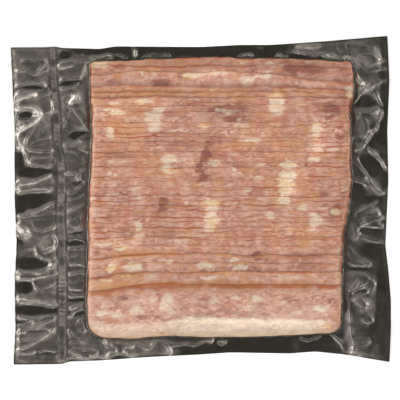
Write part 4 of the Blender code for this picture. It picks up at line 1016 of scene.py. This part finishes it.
def slice_mesh(k, columns, stops):
    """Points, faces and fields of one slice: a thin closed slab that follows slice_top."""
    s = np.linspace(0, 1, columns)
    x = SLICE_LEFT[k] + (SLICE_RIGHT[k] - SLICE_LEFT[k]) * s
    reach = front_reach(x) if k == FRONT else np.full(columns, 43.0)
    rows_top, rows_low, depths = [], [], []
    middle = float(np.mean(reach))
    for q in stops:
        y = EDGE_Y[k] - q * middle
        x = side_left(k, y) + (side_right(k, y) - side_left(k, y)) * s
        d = q * (front_reach(x) if k == FRONT else middle)
        at = edge_line(k, x) - d
        rows_top.append(np.stack([x, at, np.maximum(slice_top(k, x, d) - end_drop(k, x, at), 1.2)], 1))
        depths.append(d + 0 * x)
    low_stops = stops[::-1][:: 2] if len(stops) > 20 else stops[::-1][::3]
    for q in low_stops:
        q = np.clip(q, 0.004, 0.996)
        y = EDGE_Y[k] - q * middle
        x = side_left(k, y) + (side_right(k, y) - side_left(k, y)) * s
        reach = front_reach(x) if k == FRONT else np.full(columns, middle)
        d = q * reach
        at = edge_line(k, x) - d
        full = np.minimum(1.0, d / 8.0) * 0.6 + 0.4
        ends = np.minimum(x - side_left(k, y), side_right(k, y) - x)
        rim = 0.35 + 0.65 * np.minimum(1.0, ends / 1.6)
        body = slice_top(k, x, np.maximum(d, EDGE_RUN[k])) - SLICE_THICK * full * rim
        if k == FRONT:
            body = slice_top(k, x, np.minimum(np.maximum(d, EDGE_RUN[k]), reach - 4.0)) - SLICE_THICK * full * rim
            body = np.minimum(body, slice_top(k, x, d) - end_drop(k, x, at) - 0.25)
        rows_low.append(np.stack([x, at, np.maximum(body, 0.6)], 1))
        depths.append(d)
    ring = rows_top + rows_low
    points = np.vstack(ring)
    rows = len(ring)
    faces = grid_faces(rows, columns, wrap=True, flip=True).tolist()
    faces.append([r * columns for r in range(rows)])
    faces.append([r * columns + columns - 1 for r in range(rows)][::-1])
    d_all = np.concatenate(depths)
    fields = slab_fields(k, points[:, 0], points[:, 1], d_all)
    slab = np.stack([points[:, 0], d_all, np.full(len(points), k * 2.0)], 1)
    return points, faces, fields, slab


def joined_slices(name, numbers, columns, stops, material):
    all_points, all_faces, all_fields, slabs = [], [], [], []
    start = 0
    for k in numbers:
        points, faces, fields, slab = slice_mesh(k, columns, stops)
        all_points.append(points)
        all_faces += [[v + start for v in f] for f in faces]
        start += len(points)
        all_fields.append(np.stack(fields))
        slabs.append(slab)
    fields = dict(zip(("fat", "dark", "smoke", "tan", "pale_and_painted_sheen", "painted_light_and_tone"), np.hstack(all_fields)))
    fields["slab"] = np.vstack(slabs) * MM
    return make_piece(name, np.vstack(all_points), all_faces, material, fields)


def srgb(r, g, b):
    """Colour as seen on a screen, 0 to 255, as the shader's numbers."""
    def one(c):
        c /= 255.0
        return c / 12.92 if c <= 0.04045 else ((c + 0.055) / 1.055) ** 2.4
    return (one(r), one(g), one(b), 1.0)


class Nodes:
    """Short way to write a node tree."""

    def __init__(self, name):
        self.material = bpy.data.materials.new(name)
        self.material.use_nodes = True
        self.tree = self.material.node_tree
        self.tree.nodes.clear()
        self.out = self.add("ShaderNodeOutputMaterial")

    def add(self, kind, **settings):
        node = self.tree.nodes.new(kind)
        for key, value in settings.items():
            setattr(node, key, value)
        return node

    def link(self, a, b):
        self.tree.links.new(a, b)

    def put(self, node, socket, value):
        if isinstance(value, bpy.types.NodeSocket):
            self.link(value, node.inputs[socket])
        else:
            node.inputs[socket].default_value = value

    def field(self, name):
        return self.add("ShaderNodeAttribute", attribute_name=name, attribute_type="GEOMETRY")

    def math(self, operation, a, b=None, clamp=False):
        node = self.add("ShaderNodeMath", operation=operation, use_clamp=clamp)
        self.put(node, 0, a)
        if b is not None:
            self.put(node, 1, b)
        return node.outputs[0]

    def mix(self, factor, a, b, blend="MIX"):
        node = self.add("ShaderNodeMix", data_type="RGBA", blend_type=blend)
        self.put(node, 0, factor)
        self.put(node, 6, a)
        self.put(node, 7, b)
        return node.outputs[2]

    def scaled(self, vector, x, y, z):
        node = self.add("ShaderNodeVectorMath", operation="MULTIPLY")
        self.link(vector, node.inputs[0])
        node.inputs[1].default_value = (x, y, z)
        return node.outputs[0]

    def noise(self, vector, scale, detail=2.0, rough=0.5):
        node = self.add("ShaderNodeTexNoise")
        self.link(vector, node.inputs["Vector"])
        node.inputs["Scale"].default_value = scale
        node.inputs["Detail"].default_value = detail
        node.inputs["Roughness"].default_value = rough
        return node.outputs[0]

    def ramp(self, value, low, high):
        node = self.add("ShaderNodeMapRange", interpolation_type="SMOOTHSTEP")
        self.put(node, 0, value)
        node.inputs[1].default_value = low
        node.inputs[2].default_value = high
        return node.outputs[0]


def meat_material():
    n = Nodes("bacon")
    slab = n.field("slab").outputs["Vector"]
    fat, dark, smoke, tan, pale_and_painted_sheen, painted_light_and_tone = (n.field(f).outputs["Fac"] for f in ("fat", "dark", "smoke", "tan", "pale_and_painted_sheen", "painted_light_and_tone"))
    blotch = n.noise(n.scaled(slab, 1.0, 1.4, 1.2), 150.0, 3.0, 0.6)
    grain = n.noise(n.scaled(slab, 0.6, 1.4, 1.3), 420.0, 3.0, 0.62)
    fine = n.noise(n.scaled(slab, 0.7, 1.5, 1.7), 1100.0, 2.0, 0.6)
    broad = n.noise(n.scaled(slab, 1.0, 1.0, 0.7), 45.0, 2.0, 0.5)

    def wobble(value, by, low, high):
        """A field's strength after its outline is broken up by the grain."""
        centred = n.math("MULTIPLY", n.math("SUBTRACT", grain, 0.5), by)
        return n.ramp(n.math("ADD", value, centred), low, high)

    lean = n.mix(n.ramp(blotch, 0.36, 0.64), srgb(174, 117, 98), srgb(208, 160, 140))
    lean = n.mix(n.math("MULTIPLY", n.ramp(broad, 0.42, 0.62), 0.6), lean, srgb(198, 142, 108))
    hue = n.noise(n.scaled(slab, 0.8, 1.2, 1.1), 75.0, 2.0, 0.55)
    lean = n.mix(n.math("MULTIPLY", n.ramp(hue, 0.5, 0.68), 0.7), lean, srgb(192, 122, 100))
    lean = n.mix(n.math("MULTIPLY", n.ramp(hue, 0.48, 0.32), 0.7), lean, srgb(207, 168, 149))
    lean = n.mix(n.math("MULTIPLY", n.ramp(grain, 0.5, 0.7), 0.55), lean, srgb(222, 184, 166))
    lean = n.mix(n.math("MULTIPLY", n.ramp(grain, 0.48, 0.3), 0.55), lean, srgb(160, 102, 86))
    lean = n.mix(n.math("MULTIPLY", wobble(dark, 0.7, 0.15, 1.0), 0.9), lean, srgb(144, 80, 70))
    # pale lean, together with painted sheen, painted glints and painted crest highlights from the same field
    lean = n.mix(n.math("MULTIPLY", wobble(pale_and_painted_sheen, 0.9, 0.1, 1.0), 0.65), lean, srgb(223, 182, 162))
    lean = n.mix(n.math("MULTIPLY", wobble(tan, 0.9, 0.15, 1.0), 0.7), lean, srgb(200, 140, 94))
    fat_colour = n.mix(n.ramp(grain, 0.35, 0.7), srgb(216, 193, 170), srgb(233, 215, 193))
    fat_colour = n.mix(n.math("MULTIPLY", wobble(tan, 0.8, 0.1, 0.9), 0.7), fat_colour, srgb(224, 184, 130))
    fat_in = wobble(fat, 0.55, 0.1, 0.95)
    colour = n.mix(n.math("MULTIPLY", fat_in, 0.87), lean, fat_colour)
    smoke_in = wobble(smoke, 0.7, 0.15, 1.0)
    smoked = n.mix(n.math("MULTIPLY", fat_in, 0.55), srgb(170, 86, 42), srgb(200, 132, 72))
    colour = n.mix(n.math("MULTIPLY", smoke_in, 0.8), colour, smoked)
    # painted sparkle: fine pale flecks mixed into the colour
    painted_sparkle = n.math("MULTIPLY", n.ramp(fine, 0.6, 0.74), 0.35)
    colour = n.mix(painted_sparkle, colour, srgb(236, 214, 196))
    # the lightness field, random tone with painted light and shade, scales the colour
    gain = n.math("MULTIPLY_ADD", painted_light_and_tone, 0.42)
    gain.node.inputs[2].default_value = 0.83
    toned = n.add("ShaderNodeVectorMath", operation="SCALE")
    n.link(colour, toned.inputs[0])
    n.link(gain, toned.inputs["Scale"])
    colour = toned.outputs[0]
    shader = n.add("ShaderNodeBsdfPrincipled")
    n.link(colour, shader.inputs["Base Color"])
    rough = n.math("MULTIPLY_ADD", fine, 0.25)
    rough.node.inputs[2].default_value = 0.38
    n.link(rough, shader.inputs["Roughness"])
    shader.inputs["Specular IOR Level"].default_value = 0.3
    bump = n.add("ShaderNodeBump")
    bump.inputs["Strength"].default_value = 0.5
    bump.inputs["Distance"].default_value = 0.0006
    n.link(grain, bump.inputs["Height"])
    n.link(bump.outputs[0], shader.inputs["Normal"])
    n.link(shader.outputs[0], n.out.inputs["Surface"])
    return n.material


def clear_material():
    n = Nodes("clear_film")
    place = n.add("ShaderNodeTexCoord").outputs["Object"]
    fine = n.noise(n.scaled(place, 1.0, 1.0, 1.0), 420.0, 3.0, 0.55)
    bump = n.add("ShaderNodeBump")
    bump.inputs["Strength"].default_value = 0.35
    bump.inputs["Distance"].default_value = 0.0004
    n.link(fine, bump.inputs["Height"])
    gloss = n.add("ShaderNodeBsdfGlossy")
    gloss.inputs["Color"].default_value = (1, 0.925, 0.83, 1)
    gloss.inputs["Roughness"].default_value = 0.12
    n.link(bump.outputs[0], gloss.inputs["Normal"])
    clear = n.add("ShaderNodeBsdfTransparent")
    clear.inputs["Color"].default_value = (0.985, 0.985, 0.975, 1)
    weight = n.add("ShaderNodeLayerWeight")
    weight.inputs["Blend"].default_value = 0.5
    n.link(bump.outputs[0], weight.inputs["Normal"])
    grazing = n.math("POWER", weight.outputs["Facing"], 5.0)
    free = n.math("MULTIPLY_ADD", n.field("free").outputs["Fac"], 0.08)
    free.node.inputs[2].default_value = 0.045
    shine = n.math("MULTIPLY_ADD", grazing, 0.3)
    n.link(free, shine.node.inputs[2])
    mix = n.add("ShaderNodeMixShader")
    n.link(shine, mix.inputs[0])
    n.link(clear.outputs[0], mix.inputs[1])
    n.link(gloss.outputs[0], mix.inputs[2])
    haze = n.add("ShaderNodeBsdfGlossy")
    haze.inputs["Color"].default_value = (1, 0.893, 0.78, 1)
    haze.inputs["Roughness"].default_value = 0.38
    n.link(bump.outputs[0], haze.inputs["Normal"])
    veil = n.add("ShaderNodeMixShader")
    wisps = n.field("haze").outputs["Fac"]
    veiled = n.math("MULTIPLY_ADD", n.math("POWER", wisps, 2.5), 0.16)
    n.link(n.math("MULTIPLY", wisps, 0.13), veiled.node.inputs[2])
    n.link(veiled, veil.inputs[0])
    n.link(mix.outputs[0], veil.inputs[1])
    n.link(haze.outputs[0], veil.inputs[2])
    n.link(veil.outputs[0], n.out.inputs["Surface"])
    return n.material


def black_material():
    n = Nodes("black_film")
    place = n.add("ShaderNodeTexCoord").outputs["Object"]
    fine = n.noise(place, 260.0, 3.0, 0.5)
    colour = n.mix(n.ramp(fine, 0.3, 0.7), srgb(26, 23, 18), srgb(38, 34, 28))
    shader = n.add("ShaderNodeBsdfPrincipled")
    n.link(colour, shader.inputs["Base Color"])
    rough = n.math("MULTIPLY_ADD", fine, 0.14)
    rough.node.inputs[2].default_value = 0.17
    shader.inputs["Specular IOR Level"].default_value = 1.0
    shader.inputs["Specular Tint"].default_value = (1.0, 0.93, 0.83, 1.0)
    n.link(rough, shader.inputs["Roughness"])
    bump = n.add("ShaderNodeBump")
    bump.inputs["Strength"].default_value = 0.3
    bump.inputs["Distance"].default_value = 0.0004
    n.link(fine, bump.inputs["Height"])
    n.link(bump.outputs[0], shader.inputs["Normal"])
    n.link(shader.outputs[0], n.out.inputs["Surface"])
    return n.material


FINE = 0.95  # spacing of the film's rows and columns in the border
MEAT_LOOK, CLEAR_LOOK, BLACK_LOOK = meat_material(), clear_material(), black_material()

stops = np.array([0.0, 0.3, 0.7, 1.2, 1.8, 2.6, 3.6, 5.0, 6.5, 9.0, 14.0, 22.0, 32.0, 40.0, 43.0]) / 43.0
front_stops = np.concatenate([np.array([0.0, 0.3, 0.7, 1.2, 1.8]) / SLICE_WIDE, np.linspace(2.5, SLICE_WIDE, 40) / SLICE_WIDE])
groups = [range(0, 10), range(10, 20), range(20, 30), range(30, FRONT)]
names = ["slices_far_quarter", "slices_second_quarter", "slices_third_quarter", "slices_near_quarter"]
slices = [joined_slices(n, g, 210, stops, MEAT_LOOK) for n, g in zip(names, groups)]
slices.append(joined_slices("top_slice", [FRONT], 260, front_stops, MEAT_LOOK))


def film_grid(fine, coarse, row_gap):
    """Values of s and t for a film's rows and columns."""
    lines = [-190.0]
    while lines[-1] < 187.5:
        x = lines[-1]
        inside = min(smooth(-104.0, -92.0, x), smooth(138.0, 126.0, x))
        lines.append(x + fine + (coarse - fine) * float(inside))
    s = (np.array(lines) - lines[0]) / (lines[-1] - lines[0])
    t = np.linspace(0, 1, int(round(321.0 / row_gap)) + 1)
    return np.meshgrid(s, t)


def merged_faces(rows, columns, first, last, step, low, high):
    """Faces of a grid with runs of `step` cells joined in one between the given columns and rows."""
    faces = []
    for j in range(rows - 1):
        a, b = j * columns, (j + 1) * columns
        inner = low <= j < high
        i = 0
        while i < columns - 1:
            if inner and first <= i < last:
                near_side_points = list(range(a + i, a + i + step + 1)) if j == low else [a + i, a + i + step]
                far_side_points = list(range(b + i + step, b + i - 1, -1)) if j == high - 1 else [b + i + step, b + i]
                faces.append(near_side_points + far_side_points)
                i += step
            else:
                faces.append([a + i, a + i + 1, b + i + 1, b + i])
                i += 1
    used = np.zeros(rows * columns, bool)
    for face in faces:
        used[face] = True
    number = np.cumsum(used) - 1
    return [[int(number[v]) for v in face] for face in faces], used


s, t = film_grid(FINE, FINE, FINE)
plan = pouch_point(s, t)
z = resample(FILM, RX, RY, plan[..., 0], plan[..., 1])
zb = resample(BACK, RX, RY, plan[..., 0], plan[..., 1])
rim = np.minimum.reduce([s * 376, (1 - s) * 376, t * 320, (1 - t) * 320])
z = zb + np.maximum(z - zb, 0.12) * smooth(-0.5, 6.0, rim) + 0.08
mid_row, mid_column = s.shape[0] // 2, s.shape[1] // 2
first = int(np.argmax(plan[mid_row, :, 0] > -98.0))
last = first + (int(np.argmax(plan[mid_row, :, 0] > 128.0)) - first) // 3 * 3
rising = plan[-1, mid_column, 1] > plan[0, mid_column, 1]
over = np.nonzero((plan[:, mid_column, 1] > -93.0) & (plan[:, mid_column, 1] < 135.0))[0]
film_faces, used = merged_faces(s.shape[0], s.shape[1], first, last, 3, int(over[0]), int(over[-1]))
if not rising:
    film_faces = [face[::-1] for face in film_faces]
film = make_piece(
    "clear_front_film",
    np.stack([plan[..., 0], plan[..., 1], z], -1).reshape(-1, 3)[used],
    film_faces,
    CLEAR_LOOK,
    {"haze": resample(HAZE, RX, RY, plan[..., 0], plan[..., 1]).ravel()[used], "free": resample(smooth(0.8, 3.2, AWAY), RX, RY, plan[..., 0], plan[..., 1]).ravel()[used]},
)

s, t = film_grid(1.5, 5.0, 1.6)
plan = pouch_point(s, t)
zb = resample(BACK, RX, RY, plan[..., 0], plan[..., 1])
film_above = resample(FILM, RX, RY, plan[..., 0], plan[..., 1])
zb = np.maximum(np.minimum(zb, film_above - 0.1), 0.0)
upper = np.stack([plan[..., 0], plan[..., 1], zb + 0.02], -1).reshape(-1, 3)
back = make_piece("black_back_film", upper, grid_faces(*s.shape), BLACK_LOOK)

for piece in slices + [film]:
    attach(piece, "root")
    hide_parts("clear_bag")
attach(back, "root")
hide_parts("back_film")

# ------------------------------------------------------------------ floor, light and camera

floor_look = Nodes("pale_floor")
floor_shader = floor_look.add("ShaderNodeBsdfPrincipled")
floor_shader.inputs["Base Color"].default_value = (0.93, 0.93, 0.91, 1)
floor_shader.inputs["Roughness"].default_value = 0.9
floor_shader.inputs["Specular IOR Level"].default_value = 0.0
floor_shader.inputs["Emission Color"].default_value = (1, 1, 0.98, 1)
floor_shader.inputs["Emission Strength"].default_value = 0.35
floor_look.link(floor_shader.outputs[0], floor_look.out.inputs["Surface"])
mesh = bpy.data.meshes.new("floor")
size = 6.0
mesh.from_pydata([(-size, -size, -0.0004), (size, -size, -0.0004), (size, size, -0.0004), (-size, size, -0.0004)], [], [(0, 1, 2, 3)])
mesh.materials.append(floor_look.material)
floor = bpy.data.objects.new("floor", mesh)
bpy.context.scene.collection.objects.link(floor)

world = bpy.data.worlds.new("studio")
bpy.context.scene.world = world
world.use_nodes = True
wt = world.node_tree
wt.nodes.clear()
w_out = wt.nodes.new("ShaderNodeOutputWorld")
w_bg = wt.nodes.new("ShaderNodeBackground")
w_tc = wt.nodes.new("ShaderNodeTexCoord")
w_sep = wt.nodes.new("ShaderNodeSeparateXYZ")
w_ramp = wt.nodes.new("ShaderNodeValToRGB")
wt.links.new(w_tc.outputs["Generated"], w_sep.inputs[0])
wt.links.new(w_sep.outputs["Z"], w_ramp.inputs[0])
# light of the studio by height: dark straight above, where the camera is, and pale further down
HEIGHTS = [(0.0, 0.5), (0.26, 0.55), (0.5, 0.66), (0.64, 0.92), (0.77, 1.25), (0.866, 1.12), (0.927, 0.66), (0.961, 0.32), (0.985, 0.10), (1.0, 0.05)]
elements = w_ramp.color_ramp.elements
while len(elements) < len(HEIGHTS):
    elements.new(0.5)
for element, (at, value) in zip(elements, HEIGHTS):
    element.position = at
    element.color = (value, value, value * 0.985, 1)
# soft boxes: bearing, angle from straight up, half width, all in degrees, and brightness
SOFTBOXES = [(160.0, 46.0, 12.0, 3.8), (212.0, 48.0, 11.0, 3.8), (10.0, 46.0, 11.0, 3.4), (325.0, 50.0, 10.0, 3.2), (270.0, 40.0, 6.0, 3.0)]
# dark card in front of the far side: bearing, angle from straight up, half width, darkness
CARD = (90.0, 38.0, 22.0, 0.6)
total = w_ramp.outputs["Color"]
for bearing, down, half, bright in SOFTBOXES:
    a, b = math.radians(bearing), math.radians(down)
    dot = wt.nodes.new("ShaderNodeVectorMath")
    dot.operation = "DOT_PRODUCT"
    wt.links.new(w_tc.outputs["Generated"], dot.inputs[0])
    dot.inputs[1].default_value = (math.sin(b) * math.cos(a), math.sin(b) * math.sin(a), math.cos(b))
    lobe = wt.nodes.new("ShaderNodeMapRange")
    lobe.interpolation_type = "SMOOTHSTEP"
    wt.links.new(dot.outputs["Value"], lobe.inputs[0])
    lobe.inputs[1].default_value = math.cos(math.radians(half * 1.25))
    lobe.inputs[2].default_value = math.cos(math.radians(half * 0.6))
    lobe.inputs[4].default_value = bright
    add = wt.nodes.new("ShaderNodeMix")
    add.data_type = "RGBA"
    add.blend_type = "ADD"
    add.inputs[0].default_value = 1.0
    wt.links.new(total, add.inputs[6])
    wt.links.new(lobe.outputs[0], add.inputs[7])
    total = add.outputs[2]
a, b = math.radians(CARD[0]), math.radians(CARD[1])
dot = wt.nodes.new("ShaderNodeVectorMath")
dot.operation = "DOT_PRODUCT"
wt.links.new(w_tc.outputs["Generated"], dot.inputs[0])
dot.inputs[1].default_value = (math.sin(b) * math.cos(a), math.sin(b) * math.sin(a), math.cos(b))
card = wt.nodes.new("ShaderNodeMapRange")
card.interpolation_type = "SMOOTHSTEP"
wt.links.new(dot.outputs["Value"], card.inputs[0])
card.inputs[1].default_value = math.cos(math.radians(CARD[2] * 1.3))
card.inputs[2].default_value = math.cos(math.radians(CARD[2] * 0.7))
card.inputs[3].default_value = 1.0
card.inputs[4].default_value = 1.0 - CARD[3]
hide = wt.nodes.new("ShaderNodeMix")
hide.data_type = "RGBA"
hide.blend_type = "MULTIPLY"
hide.inputs[0].default_value = 1.0
wt.links.new(total, hide.inputs[6])
wt.links.new(card.outputs[0], hide.inputs[7])
total = hide.outputs[2]
# the near side of the studio is a little dimmer
shade = wt.nodes.new("ShaderNodeMapRange")
shade.interpolation_type = "SMOOTHSTEP"
wt.links.new(w_sep.outputs["Y"], shade.inputs[0])
shade.inputs[1].default_value = -0.7
shade.inputs[2].default_value = 0.7
shade.inputs[3].default_value = 0.86
shade.inputs[4].default_value = 1.12
dim = wt.nodes.new("ShaderNodeMix")
dim.data_type = "RGBA"
dim.blend_type = "MULTIPLY"
dim.inputs[0].default_value = 1.0
wt.links.new(total, dim.inputs[6])
wt.links.new(shade.outputs[0], dim.inputs[7])
total = dim.outputs[2]
wt.links.new(total, w_bg.inputs["Color"])
w_bg.inputs["Strength"].default_value = 1.0
wt.links.new(w_bg.outputs[0], w_out.inputs["Surface"])

camera_data = bpy.data.cameras.new("camera")
camera_data.sensor_width = 36.0
DISTANCE = 3.0
camera_data.lens = 36.0 * DISTANCE / 0.3990
camera = bpy.data.objects.new("camera", camera_data)
bpy.context.scene.collection.objects.link(camera)
camera.location = (-0.0010, 0.0002, DISTANCE + 0.003)
camera.rotation_euler = (0.0, 0.0, 0.0)
bpy.context.scene.camera = camera
bpy.context.scene.view_settings.view_transform = "Standard"
